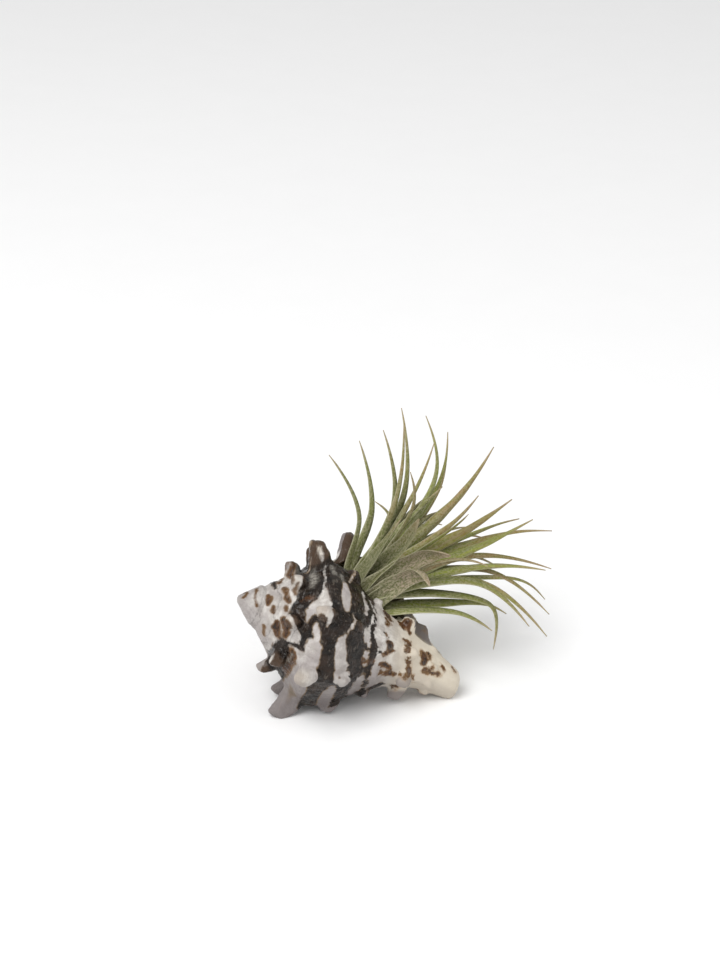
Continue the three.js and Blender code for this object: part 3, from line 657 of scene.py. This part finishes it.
def shell_marks(along, angle, radius, points):
    """Values that the shell's finish reads at each point."""
    outer, growth = shell_radius(along, angle)
    size = size_at(growth)
    place = outline_place(along, size)
    gap, varix = off_varix(growth)
    last_whorl = smooth(growth, -1.02, -0.98)
    joins = np.array(BAND_JOINS + [OTHER_JOINS] * len(VARIX_TURNS))[varix]
    near_varix = bell(gap / VARIX_SPACING, 0.2)
    drift = np.clip(7 * (growth + 0.6), -2, 1.5) * (1 - smooth(place, 52, 57))
    broken = lumps(np.stack([growth * 16, place * 0.18, growth * 0], -1), 1.0, 3.1)
    dark = np.full(len(along), -3.0)
    for at, half, swell, breaks in DARK_BANDS:
        inside = half + swell * near_varix * joins - np.abs(place - at - drift)
        dark = np.maximum(dark, inside + breaks * (3.2 * broken - 0.5))
    dark = dark * size * last_whorl - 3 * (1 - last_whorl)
    # The spire's flames, and the dark edge along its suture.
    flames = lumps(np.stack([growth * 13, place * 0.1, growth * 0], -1), 1.0, 7.7)
    spire = (2.2 * (flames - 0.32) - 0.25 * np.abs(place - 24)) * size + 0.3
    # The front, where the bands run together, and then its strokes.
    wrap = wrapped(angle)
    front = np.minimum(along - edge_at(wrap, SHOULDER_EDGE), edge_at(wrap, PALE_EDGE) - along)
    on_front = (1 - smooth(wrap, 104, 122)) * smooth(wrap, -70, -50) * smooth(along, 10, 14)
    on_spire = (1 - smooth(along, 14, 17)) * (1 - smooth(wrap, 150, 185)) * smooth(wrap, -75, -55)
    dark = np.maximum(dark, spire - 4 * on_spire)
    dark = dark + (np.clip(front, -2.5, 2.5) - dark) * on_front
    in_view = (1 - smooth(wrap, 150, 185)) * smooth(wrap, -60, -45)
    rusty, faded = np.zeros(len(along)), np.zeros(len(along))
    wander = 0.3 * (lumps(points, 0.5, 2.2) - 0.5)
    for tone, *stroke in STROKES:
        field = stroke_field(along + wander, wrap, radius, stroke)
        field = FAR_OUTSIDE + (field - FAR_OUTSIDE) * in_view
        if tone == FADED:
            faded = np.maximum(faded, smooth(field, -0.9, 0.7))
            continue
        dark = np.minimum(dark, -field) if tone == WHITE else np.maximum(dark, field)
        if tone == RUSTY:
            rusty = np.maximum(rusty, smooth(field, -0.8, 0.2))
    rusty = np.maximum(rusty, smooth(along, 56, 62))
    proud = radius - outer
    # Spines are pale below and dark above, but for the streak on the tall one.
    on_spine = smooth(proud, 1.2, 2.6)
    under = smooth(wrap, 88, 100) * (1 - smooth(wrap, 215, 240))
    dark = dark + (-1.6 - dark) * on_spine * under * smooth(along, 19, 22)
    lit = np.maximum(smooth(wrap, -70, -40) * (1 - smooth(wrap, 0, 30)), smooth(-wrap, 55, 75))
    dark = np.where(dark > -1.2, dark, dark + (1.2 - dark) * on_spine * lit * smooth(along, 17, 19))
    # Painted shade: the chalk darkens towards the bottom of the front, less so on the canal floor.
    below = (1 - smooth(points[:, 2], 3, 34)) * smooth(wrap, 70, 95) * (1 - smooth(wrap, 200, 250))
    below = below * (1 - 0.75 * smooth(place, 55, 64) * (1 - smooth(proud, 1, 2.5)))
    return {
        "dark": dark,
        "rusty": rusty,
        "faded": faded,
        "place": place,
        "turned": growth * 360 * size * 0.45,
        "proud": proud,
        "inside": smooth(-proud, 0.6, 1.5),
        # 'low' is painted shade, towards the bottom of the front and on spines on the far side.
        "low": np.maximum(below, smooth(proud, 1.5, 3) * smooth(-wrap, 15, 35)),
    }


def make_shell():
    points, faces = join_bodies([shell_outside(), *shell_spines()])
    shell = object_of("shell", points, faces)
    apply_modifier(shell, "REMESH", mode="VOXEL", voxel_size=VOXEL * MM, adaptivity=0)
    cutters = [object_of("cutter", *body) for body in (shell_hollow(), canal_groove(), table_block())]
    for cutter in cutters:
        turn_outwards(cutter)
        apply_modifier(shell, "BOOLEAN", operation="DIFFERENCE", solver="MANIFOLD", object=cutter)
        bpy.data.objects.remove(cutter)
    apply_modifier(shell, "REMESH", mode="VOXEL", voxel_size=VOXEL * MM, adaptivity=0)
    apply_modifier(shell, "SMOOTH", factor=0.5, iterations=2)
    shell.data.polygons.foreach_set("use_smooth", [True] * len(shell.data.polygons))
    shell.data.materials.clear()
    points = points_of(shell)
    marks = shell_marks(*shell_coordinates(points), points)
    roughened = points + normals_of(shell) * shell_grain(points, marks)[:, None]
    roughened[:, 2] = np.maximum(roughened[:, 2], 0)
    flat = points[:, 2] < 0.25
    roughened[flat] = points[flat] * [1, 1, 0]
    shell.data.vertices.foreach_set("co", (roughened * MM).ravel())
    for mark, values in marks.items():
        layer = shell.data.attributes.new(mark, "FLOAT", "POINT")
        layer.data.foreach_set("value", values.astype(np.float32))
    shell.data.update()
    return shell


def shell_grain(points, marks):
    """Growth wrinkles, knots on the dark bands and pits, as a height in millimetres."""
    outside = 1 - marks["inside"]
    wander = lumps(points, 0.16, 5.0)
    wrinkles = np.abs(np.sin(marks["turned"] * 2.1 + 2.6 * wander + marks["place"] * 0.12)) ** 0.6
    scales = lumps(points, 0.55, 9.0, 3)
    pigment = smooth(marks["dark"], -0.4, 0.8)
    bare = smooth(marks["place"], 56, 68)
    return (1 - 0.85 * bare) * outside * (0.2 * (wrinkles - 0.7) + (0.12 + 0.2 * pigment) * scales
                                          + 0.12 * pigment) + 0.08 * wander


# ---- the rosette ----

GROWTH_AXIS = unit(np.array([0.66, -0.05, 0.75]))
TO_BACK = unit(np.array([0.0, 1, 0]) - GROWTH_AXIS * GROWTH_AXIS[1])
MOUTH_WAY = np.cross(TO_BACK, GROWTH_AXIS)


def leaf_plans():
    """Tip, elbow, gate and width of every leaf: those of the front, then a fan at the back."""
    draw = seeded_draw(11)
    plans = [(seen_forward(x, y, forward), seen_forward(bend_x, bend_y, forward * ELBOW_DEPTH),
              to_canal, width)
             for x, y, forward, bend_x, bend_y, to_canal, width in FRONT_LEAVES]
    for i in range(BACK_LEAVES):
        fan = math.radians(-14 + 72 * ((i * GOLDEN_SHARE) % 1))
        spread = math.radians(32 + 30 * (i + 0.5) / BACK_LEAVES)
        length = 50 - 7 * i / BACK_LEAVES + 4 * next(draw)
        side = TO_BACK * math.cos(fan) + MOUTH_WAY * math.sin(fan)
        way = GROWTH_AXIS * math.cos(spread) + side * math.sin(spread)
        droop = 2 + 5 * next(draw)
        plans.append((HEART + way * length - [0, 0, droop],
                      HEART + way * length * 0.64 + [0, 0, 4 + droop * 0.5],
                      5.5 * math.sin(fan) - 2, 4.2 + 1.2 * next(draw)))
    return plans


def root_and_gate(i, elbow, to_canal):
    """Where a leaf leaves the stem, and where it passes the mouth of the shell."""
    out = elbow - HEART
    out = unit(out - GROWTH_AXIS * (out @ GROWTH_AXIS))
    root = STEM_FOOT + (THROAT - STEM_FOOT) * 0.45 * ((i * GOLDEN_SHARE) % 1) + out * 3.4
    across = (out @ TO_BACK) * THROAT_HALF_WIDTH - 0.4 * to_canal
    return root, THROAT + MOUTH_WAY * to_canal + TO_BACK * across


def leaf_path(root, gate, elbow, tip, steps):
    """Evenly spaced points of a smooth path through all four points, bent on to the tip."""
    turn = unit(tip - elbow) - unit(elbow - gate)
    beyond = tip + unit(unit(tip - elbow) + TIP_CURL * turn) * np.linalg.norm(tip - elbow)
    points = [2 * root - gate, root, gate, elbow, tip, beyond]
    t = np.linspace(0, 1, 30)[:, None]
    fine = []
    for before, start, end, after in zip(points, points[1:], points[2:], points[3:]):
        first, middle, last = (np.linalg.norm(b - a) ** 0.5
                               for a, b in ((before, start), (start, end), (end, after)))
        leaving = ((start - before) / first - (end - before) / (first + middle)) * middle + end - start
        arriving = ((after - end) / last - (after - start) / (middle + last)) * middle + end - start
        fine.append(start * (1 + 2 * t) * (1 - t) ** 2 + leaving * t * (1 - t) ** 2
                    + end * t**2 * (3 - 2 * t) - arriving * t**2 * (1 - t))
    fine = np.concatenate(fine)
    length = np.concatenate([[0], np.cumsum(np.linalg.norm(np.diff(fine, axis=0), axis=1))])
    even = np.linspace(0, length[-1], steps)
    return np.stack([np.interp(even, length, fine[:, axis]) for axis in range(3)], axis=1)


def leaf_blade(root, gate, tip, elbow, width, blunt, wave):
    """A channelled blade along its path, with how far along and across each point is."""
    flat = unit(np.cross(GROWTH_AXIS, tip - HEART))
    steps = 46
    t = np.linspace(0, 1, steps)[:, None]
    centre = leaf_path(root, gate, elbow, tip, steps)
    way = unit(np.gradient(centre, axis=0))
    across = unit(flat - way * (way @ flat)[:, None])
    under = -np.cross(across, way)
    length = np.concatenate([[0], np.cumsum(np.linalg.norm(np.diff(centre, axis=0), axis=1))])
    narrow = -0.25 if blunt else 0.45  # a blunt leaf is broadest where it leaves the stem
    sheath = 1 - narrow * (1 - smooth(t, 0, 0.5 if blunt else 0.2))
    taper = (1 - t**3) ** 0.8 if blunt else (1 - t) ** 1.1
    half = width / 2 * 1.35 * sheath * taper + 0.2
    thick = 1.05 * (0.35 + 0.95 * (1 - t) ** 1.2) * (1 - 0.6 * smooth(t, 0.93, 1))
    cup = half * (0.42 + 0.22 * smooth(t, 0.3, 0.9))
    side = np.array([-1, -0.93, -0.72, -0.42, 0, 0.42, 0.72, 0.93, 1])
    lift = np.abs(side) ** 1.7
    body = (1 - side**2) ** 0.5
    wobble = 0.05 * np.sin(length[:, None] * 0.5 + wave) * half
    top = (centre[:, None] + across[:, None] * ((half + wobble) * side)[..., None]
           - under[:, None] * (cup * lift + thick / 2 * body)[..., None])
    keel = thick / 2 * body * (1 + 0.35 * bell(side, 0.3))
    bottom = (centre[:, None] + across[:, None] * ((half + wobble) * side)[..., None]
              - under[:, None] * (cup * lift - keel)[..., None])
    rings = np.concatenate([top, bottom[:, -2:0:-1]], axis=1)
    around = np.concatenate([side, side[-2:0:-1]])
    points, faces = loft(rings)
    marks = {
        "blade": np.append((np.linspace(0, 1, steps)[:, None] + 0 * around).ravel(), [0, 1]),
        "reach": np.append((length[:, None] + 0 * around).ravel(), [0, length[-1]]),
        "across": np.append((half * around).ravel(), [0, 0]),
        "edge": np.append((np.abs(around) + 0 * t).ravel(), [0, 0]),
    }
    return points, faces, marks


# Tints of the front leaves: 0 silver green, 1 bronze; and how fresh their green is.
LEAF_TINTS = [
    (0.1, 0.3), (0.1, 0.35), (0.15, 0.4), (0.25, 0.4), (0.35, 0.4), (0.55, 0.35), (0.6, 0.3),
    (0.2, 0.2), (0.6, 0.5), (0.1, 0.7), (0.3, 0.9), (0.75, 0.6), (0.8, 0.6), (0.75, 0.6),
    (0.3, 0.8), (0.6, 0.9), (0.3, 0.9), (0.25, 1.0), (0.6, 0.9), (0.7, 0.6), (0.3, 0.9),
    (0.8, 0.4), (0.4, 0.6), (0.6, 0.6), (0.3, 0.5), (0.15, 0.5), (0.1, 0.8), (0.1, 0.6),
    (0.1, 0.1), (0.25, 0.2), (0.15, 0.15), (0.7, 0.0),
]


def make_rosette():
    draw = seeded_draw(41)
    names = ("blade", "reach", "across", "edge", "bronze", "fresh", "mauve", "leaf")
    bodies, marks = [], {name: [] for name in names}
    for i, (tip, elbow, to_canal, width) in enumerate(leaf_plans()):
        root, gate = root_and_gate(i, elbow, to_canal)
        points, faces, leaf_marks = leaf_blade(root, gate, tip, elbow, width, i in BLUNT_LEAVES,
                                               6.28 * next(draw))
        bodies.append((points, faces))
        bronze, fresh = LEAF_TINTS[i] if i < len(LEAF_TINTS) else (next(draw) * 0.6, next(draw) * 0.7)
        mauve = MAUVE_LEAVES.get(i, PLAIN_MAUVE)
        for name, value in (("bronze", bronze), ("fresh", fresh), ("mauve", mauve), ("leaf", float(i))):
            leaf_marks[name] = np.full(len(points), value)
        for mark in marks:
            marks[mark].append(leaf_marks[mark])
    stem_points, stem_faces = rosette_stem()
    bodies.append((stem_points, stem_faces))
    for mark in marks:
        marks[mark].append(np.full(len(stem_points), 0.0))
    points, faces = join_bodies(bodies)
    rosette = object_of("leaf_rosette", points, faces,
                        {mark: np.concatenate(values) for mark, values in marks.items()})
    turn_outwards(rosette)
    return rosette


def stem_ways():
    """Up along the stem, and two ways across it."""
    up = unit(THROAT - STEM_FOOT)
    side = unit(np.cross([0, 1, 0], up))
    return up, side, unit(np.cross(up, side))


def rosette_stem():
    up, side, rear = stem_ways()
    profile = curve_through([(0, 2.8), (2.5, 4.8), (6, 6), (9, 5.4), (12, 3.6), (14, 1.4)])
    turns = np.linspace(0, 2 * math.pi, 40, endpoint=False)
    rings = []
    for height in np.linspace(0, 14, 20):
        radius = profile(height) * (1 + 0.05 * np.cos(turns * 6 + height * 0.9))
        rings.append(STEM_FOOT + up * height + np.outer(np.cos(turns) * radius, side)
                     + np.outer(np.sin(turns) * radius, rear))
    return loft(rings)


def make_roots():
    """Dry wiry roots that hang from the stem into the hollow of the shell."""
    draw = seeded_draw(5)
    up, side, rear = stem_ways()
    top = STEM_FOOT - up * ROOT_GAP
    turns = np.linspace(0, 2 * math.pi, 16, endpoint=False)
    round_ring = np.outer(np.cos(turns), side) + np.outer(np.sin(turns), rear)
    knot = curve_through([(0, 2.2), (1.2, 2.4), (2.6, 1.2)])
    crown = [top - up * depth + round_ring * (knot(depth) * (1 + 0.06 * np.cos(5 * turns)))[:, None]
             for depth in np.linspace(0, 2.6, 9)]
    bodies = [loft(crown)]
    for i in range(ROOT_COUNT):
        turn = i * GOLDEN_SHARE * math.pi * 2
        out = side * math.cos(turn) + rear * math.sin(turn)
        reach = 1.5 + 2.2 * next(draw)
        depth = 5.5 + 2.5 * next(draw)
        start = top - up * 0.8 + out
        mid = top - up * depth * 0.45 + out * reach
        end = top - up * depth + out * reach * 0.7
        rings = []
        for t in np.linspace(0, 1, 26):
            centre = start * (1 - t) ** 2 + mid * 2 * t * (1 - t) + end * t * t
            centre = centre + side * 0.12 * math.sin(9 * t + i) + rear * 0.12 * math.cos(7 * t + 2 * i)
            radius = (0.5 - 0.22 * t) * (1 + 0.1 * math.sin(31 * t + i))
            rings.append(centre + round_ring * radius)
        bodies.append(loft(rings))
    points, faces = join_bodies(bodies)
    roots = object_of("wiry_roots", points, faces)
    turn_outwards(roots)
    return roots


# ---- finishes ----

CHALK_LIGHT, CHALK_GREY = (0.67, 0.64, 0.60), (0.45, 0.415, 0.385)
CHALK_LILAC, CHALK_CREAM = (0.41, 0.37, 0.365), (0.66, 0.585, 0.46)
CHALK_SHADE, HORN = (0.185, 0.160, 0.158), (0.56, 0.45, 0.30)
CHALK_STREAK, CHALK_RING = (0.37, 0.315, 0.285), (0.33, 0.27, 0.24)
SCUFF_DARK, SCUFF_LIGHT = (0.17, 0.125, 0.08), (0.30, 0.24, 0.18)
STAIN_DARK, STAIN_LIGHT = (0.11, 0.07, 0.045), (0.20, 0.125, 0.05)
BLACK, BLACK_BROWN = (0.006, 0.004, 0.0025), (0.022, 0.013, 0.008)
RUST, RUST_HALO = (0.085, 0.036, 0.014), (0.36, 0.215, 0.10)
AMBER, UMBER = (0.155, 0.078, 0.028), (0.050, 0.026, 0.015)
# The pale speck colour is a painted highlight: glints on the black bands.
PAINTED_GLINT, SPINE_BROWN = (0.20, 0.165, 0.13), (0.085, 0.050, 0.030)
WORN_BLACK, FADED_BLACK = (0.20, 0.18, 0.165), (0.29, 0.27, 0.235)
LINING_DARK, LINING_LIGHT = (0.20, 0.16, 0.10), (0.34, 0.29, 0.21)
LEAF_DULL, LEAF_FRESH = (0.130, 0.138, 0.052), (0.245, 0.280, 0.034)
LEAF_VEIN, LEAF_MIDDLE = (0.070, 0.088, 0.030), (0.075, 0.095, 0.030)
LEAF_BRONZE, LEAF_TIP = (0.27, 0.150, 0.058), (0.36, 0.25, 0.16)
SCURF_SILVER, SCURF_MAUVE = (0.46, 0.44, 0.28), (0.50, 0.39, 0.31)
LEAF_MARGIN, ROOT_PATCH = (0.50, 0.48, 0.33), (0.26, 0.20, 0.14)
ROOT_DARK, ROOT_LIGHT = (0.075, 0.042, 0.024), (0.20, 0.125, 0.075)
TABLE_GREY, TABLE_WHITE = (0.93, 0.93, 0.93), (0.95, 0.95, 0.95)


class Wire:
    """A value on its way through a finish. Sums and products with it add Math nodes."""

    def __init__(self, finish, socket):
        self.finish, self.socket = finish, socket

    def with_math(self, operation, first, second):
        return self.finish.node("ShaderNodeMath", {"operation": operation}, {0: first, 1: second})

    def __add__(self, other):
        return self.with_math("ADD", self, other)

    def __radd__(self, other):
        return self.with_math("ADD", other, self)

    def __sub__(self, other):
        return self.with_math("SUBTRACT", self, other)

    def __rsub__(self, other):
        return self.with_math("SUBTRACT", other, self)

    def __mul__(self, other):
        return self.with_math("MULTIPLY", self, other)

    def __rmul__(self, other):
        return self.with_math("MULTIPLY", other, self)


class Finish:
    """A material built of nodes."""

    def __init__(self, name, **fixed):
        self.material = bpy.data.materials.new(name)
        self.material.use_nodes = True
        self.tree = self.material.node_tree
        self.shader = self.tree.nodes["Principled BSDF"]
        for socket, value in fixed.items():
            self.shader.inputs[socket.replace("_", " ")].default_value = value

    def node(self, kind, settings=None, inputs=None, output=0):
        """Adds a node, sets it, fills its sockets and gives one of its outputs."""
        made = self.tree.nodes.new(kind)
        for name, value in (settings or {}).items():
            setattr(made, name, value)
        for socket, value in (inputs or {}).items():
            self.feed(made.inputs[socket], value)
        return Wire(self, made.outputs[output])

    def feed(self, socket, value):
        if isinstance(value, Wire):
            self.tree.links.new(value.socket, socket)
        else:
            socket.default_value = value

    def mark(self, name):
        return self.node("ShaderNodeAttribute", {"attribute_name": name}, output="Fac")

    def share(self, value, low, high):
        """0 below low, 1 above high, smooth between."""
        return self.node("ShaderNodeMapRange", {"interpolation_type": "SMOOTHSTEP"},
                         {"Value": value, "From Min": low, "From Max": high})

    def noise(self, vector, scale, detail=2.0, roughness=0.5):
        return self.node("ShaderNodeTexNoise", {},
                         {"Vector": vector, "Scale": scale, "Detail": detail, "Roughness": roughness})

    def blend(self, share, first, second):
        """A colour between two."""
        return self.node("ShaderNodeMix", {"data_type": "RGBA"},
                         {0: share, 6: as_colour(first), 7: as_colour(second)}, output=2)

    def vector(self, x, y, z=0.0):
        return self.node("ShaderNodeCombineXYZ", {}, {0: x, 1: y, 2: z})

    def place(self):
        return self.node("ShaderNodeTexCoord", {}, {}, output="Object")

    def bump(self, height, distance, strength):
        return self.node("ShaderNodeBump", {},
                         {"Height": height, "Distance": distance, "Strength": strength})

    def finish(self, **sockets):
        for socket, value in sockets.items():
            self.feed(self.shader.inputs[socket.replace("_", " ")], value)
        return self.material


def as_colour(value):
    return (*value, 1.0) if isinstance(value, tuple) else value


def shell_glaze():
    """Chalky shell with glossy black-brown bands, rusty at their edges, worn on the heights, with shade
    painted low on the front and in the mouth, and glints painted on the black.
    """
    f = Finish("murex_glaze", Specular_IOR_Level=0.12, Coat_Roughness=0.14)
    at = f.place()
    dark, place, turned, rusty = f.mark("dark"), f.mark("place"), f.mark("turned"), f.mark("rusty")
    low, faded, proud = f.mark("low"), f.mark("faded"), f.mark("proud")
    fine = f.noise(at, 1100, 3, 0.65)
    coarse = f.noise(at, 300, 2, 0.5)
    cloud = f.noise(at, 90, 2, 0.5)
    growth = f.noise(f.vector(place * 0.9, turned * 1.6), 1.0, 3, 0.6)
    streaks = f.noise(f.vector(place * 3.2, turned * 0.35), 1.0, 3, 0.65)
    # Fine speckle: it frays the marks' edges near the mouth, and paints glints on the black.
    speckle_and_glint = f.noise(at, 620, 2, 0.6)
    ragged = dark + (coarse - 0.5) * 0.6 + (growth - 0.5) * 0.4 + (streaks - 0.5) * 0.6
    ragged = ragged + (speckle_and_glint - 0.5) * f.share(place, 44, 49) * 2.6
    halo = f.share(ragged, -1.3, -0.1) * rusty
    stain = f.share(ragged, -0.5, 0.0) * f.share(cloud + (coarse - 0.5) * 0.6, 0.36, 0.56)
    brown = f.share(ragged + (fine - 0.5) * 0.6, -0.3 - rusty * 0.4, 0.3)
    lined = 1 - f.share(place, 57, 65) * 0.9

    chalk = f.blend(f.share(coarse, 0.35, 0.65), CHALK_LIGHT, CHALK_GREY)
    chalk = f.blend(f.share(cloud, 0.42, 0.62) * 0.6, chalk, CHALK_LILAC)
    chalk = f.blend(f.share(place, 56, 66) * 0.75, chalk, CHALK_CREAM)
    # Painted shade: the chalk darkens where 'low' marks the bottom of the front and the far spines.
    chalk = f.blend(low * 0.9, chalk, CHALK_SHADE)
    chalk = f.blend(f.share(streaks, 0.54, 0.70) * lined * 0.4, chalk, CHALK_STREAK)
    chalk = f.blend(f.share(growth, 0.56, 0.70) * lined * 0.35, chalk, CHALK_RING)
    chalk = f.blend(f.share(proud, 2.0, 10.0) * (1 - low) * 0.3, chalk, HORN)
    mottle = f.share(cloud, 0.4, 0.6)
    chalk = f.blend(faded * 0.75, chalk, f.blend(mottle, SCUFF_DARK, SCUFF_LIGHT))
    edge = f.blend(mottle, STAIN_DARK, STAIN_LIGHT)
    chalk = f.blend(halo * f.share(coarse, 0.25, 0.7) * 0.7, chalk, RUST_HALO)

    pigment = f.blend(f.share(coarse, 0.3, 0.7), BLACK, BLACK_BROWN)
    pigment = f.blend(rusty * f.share(fine + cloud, 0.75, 1.1), pigment, RUST)
    amber = rusty * (1 - f.share(ragged + (coarse - 0.5) * 0.8, 0.0, 0.7))
    pigment = f.blend(amber * 0.9, pigment, AMBER)
    pigment = f.blend(f.share(cloud, 0.57, 0.70) * 0.35, pigment, UMBER)
    # Painted highlight: pale specks on the black stand in for glints.
    pigment = f.blend(f.share(speckle_and_glint, 0.60, 0.68) * 0.28, pigment, PAINTED_GLINT)
    pigment = f.blend(f.share(proud, 1.5, 4.0) * 0.8, pigment, SPINE_BROWN)
    worn = f.share(streaks + (coarse - 0.5) * 0.5, 0.58, 0.70)
    pigment = f.blend(worn * 0.35, pigment, WORN_BLACK)
    pigment = f.blend(faded * (0.35 + f.share(growth, 0.42, 0.56) * 0.65), pigment, FADED_BLACK)
    outside = f.blend(brown, f.blend(stain * 0.85, chalk, edge), pigment)
    # The mouth's olive-brown lining is partly its own colour and partly painted shade of the hollow.
    lining = f.blend(f.share(coarse, 0.3, 0.7), LINING_DARK, LINING_LIGHT)
    colour = f.blend(f.mark("inside"), outside, lining)

    rough = 0.44 - brown * 0.22 + (coarse - 0.5) * 0.2
    height = fine * 0.45 + (growth * 0.9 + coarse * 0.9 + streaks * 0.6) * lined
    return f.finish(Base_Color=colour, Roughness=rough, Coat_Weight=brown * 0.3,
                    Normal=f.bump(height, 0.0006, 0.8))


def leaf_skin():
    """Green leaf under silver scurf, olive to bronze towards the tip, with pale margins."""
    f = Finish("silver_leaf", Specular_IOR_Level=0.25)
    blade, reach, across, edge = f.mark("blade"), f.mark("reach"), f.mark("across"), f.mark("edge")
    bronze, fresh, leaf, mauve = f.mark("bronze"), f.mark("fresh"), f.mark("leaf"), f.mark("mauve")
    streak = f.noise(f.vector(reach * 0.12, across * 3.2, leaf * 3.7), 1.0, 3, 0.6)
    scurf = f.noise(f.vector(reach * 1.1, across * 1.9, leaf * 5.1), 1.0, 4, 0.75)
    cloud = f.noise(f.vector(reach * 0.16, across * 0.4, leaf * 2.3), 1.0, 2, 0.5)

    green = f.blend(fresh, LEAF_DULL, LEAF_FRESH)
    green = f.blend(f.share(streak, 0.35, 0.65) * 0.65, green, LEAF_VEIN)
    green = f.blend((1 - f.share(edge, 0.1, 0.5)) * 0.35, green, LEAF_MIDDLE)
    rusted = f.share(blade + (cloud - 0.5) * 0.5 + bronze * 0.5 + edge * 0.12, 0.66, 1.2)
    rusted = rusted * (0.4 + f.share(streak + (cloud - 0.5) * 0.5, 0.42, 0.58) * 0.6)
    green = f.blend(rusted * (bronze * 0.9 + 0.12), green, LEAF_BRONZE)
    green = f.blend(f.share(blade, 0.82, 1.0) * 0.65, green, LEAF_TIP)
    silver = 0.66 - f.share(blade, 0.1, 0.8) * (0.24 + fresh * 0.25)
    felt = f.share(scurf + (streak - 0.5) * 0.35, 0.42, 0.58)
    base = (1 - f.share(blade, 0.05, 0.45)) * 0.32 + mauve * 0.33
    coat = felt * silver + (0.45 + felt * 0.7) * base
    mauve = mauve * f.share(blade + (cloud - 0.5) * 0.5, 0.25, 0.6)
    green = f.blend(coat, green, f.blend(mauve, SCURF_SILVER, SCURF_MAUVE))
    margin = f.share(edge, 0.84, 0.98) * (0.55 - f.share(blade, 0.3, 1.0) * 0.25)
    green = f.blend(margin, green, LEAF_MARGIN)

    height = streak * 0.7 + scurf * 0.7
    return f.finish(Base_Color=green, Roughness=0.55 + coat * 0.3, Normal=f.bump(height, 0.00025, 0.7))


def dry_root():
    f = Finish("dry_root", Specular_IOR_Level=0.2)
    at = f.place()
    fibres = f.noise(at, 900, 3, 0.6)
    patches = f.noise(at, 220, 2, 0.5)
    bark = f.blend(f.share(fibres, 0.35, 0.65), ROOT_DARK, ROOT_LIGHT)
    bark = f.blend(f.share(patches, 0.5, 0.7) * 0.5, bark, ROOT_PATCH)
    return f.finish(Base_Color=bark, Roughness=0.72 + fibres * 0.2,
                    Normal=f.bump(fibres, 0.0003, 0.7))


def table_top():
    f = Finish("pale_table", Specular_IOR_Level=0.2)
    grain = f.noise(f.place(), 40, 2, 0.5)
    return f.finish(Base_Color=f.blend(grain, TABLE_GREY, TABLE_WHITE), Roughness=0.6)


# ---- the table, lights and camera ----

def make_table():
    reach = 3000
    corners = [(-reach, -reach, 0), (reach, -reach, 0), (reach, reach, 0), (-reach, reach, 0)]
    return object_of("table", corners, [(0, 1, 2, 3)])


def soft_light(name, place, power, size):
    """A square lamp that looks at the plant."""
    lamp = bpy.data.lights.new(name, "AREA")
    lamp.energy, lamp.size = power, size
    holder = bpy.data.objects.new(name, lamp)
    bpy.context.scene.collection.objects.link(holder)
    holder.location = place
    aim = Vector((0, 0, 0.03)) - Vector(place)
    holder.rotation_mode = "QUATERNION"
    holder.rotation_quaternion = aim.to_track_quat("-Z", "Y")


def studio_air():
    world = bpy.data.worlds.new("studio_air")
    world.use_nodes = True
    air = world.node_tree.nodes["Background"]
    air.inputs["Color"].default_value = (1, 1, 1, 1)
    air.inputs["Strength"].default_value = 0.62
    bpy.context.scene.world = world
    bpy.context.scene.view_settings.view_transform = "Standard"


def stand_camera():
    """Stands the camera where the eye is."""
    lens = bpy.data.cameras.new("camera")
    lens.sensor_width = SENSOR
    lens.lens = FOCAL * SENSOR / PICTURE_HEIGHT
    lens.clip_start, lens.clip_end = 0.05, 20
    camera = bpy.data.objects.new("camera", lens)
    bpy.context.scene.collection.objects.link(camera)
    camera.matrix_world = Matrix([
        [EYE_RIGHT[i], EYE_UP[i], -EYE_AHEAD[i], EYE[i] * MM] for i in range(3)
    ] + [[0, 0, 0, 1]])
    bpy.context.scene.camera = camera


# ---- put together ----

shell = make_shell()
shell.data.materials.append(shell_glaze())
rosette = make_rosette()
rosette.data.materials.append(leaf_skin())
roots = make_roots()
roots.data.materials.append(dry_root())
for piece, node, slot in ((shell, "murex_shell", "shell"), (rosette, "rosette", "leaves"),
                          (roots, "roots", "roots")):
    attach(piece, "root")
    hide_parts(node)

table = make_table()
table.data.materials.append(table_top())
studio_air()
soft_light("high_left", (-0.6, -0.55, 1.2), 14, 0.9)
soft_light("high_right", (0.9, -0.5, 0.9), 3, 0.9)
stand_camera()
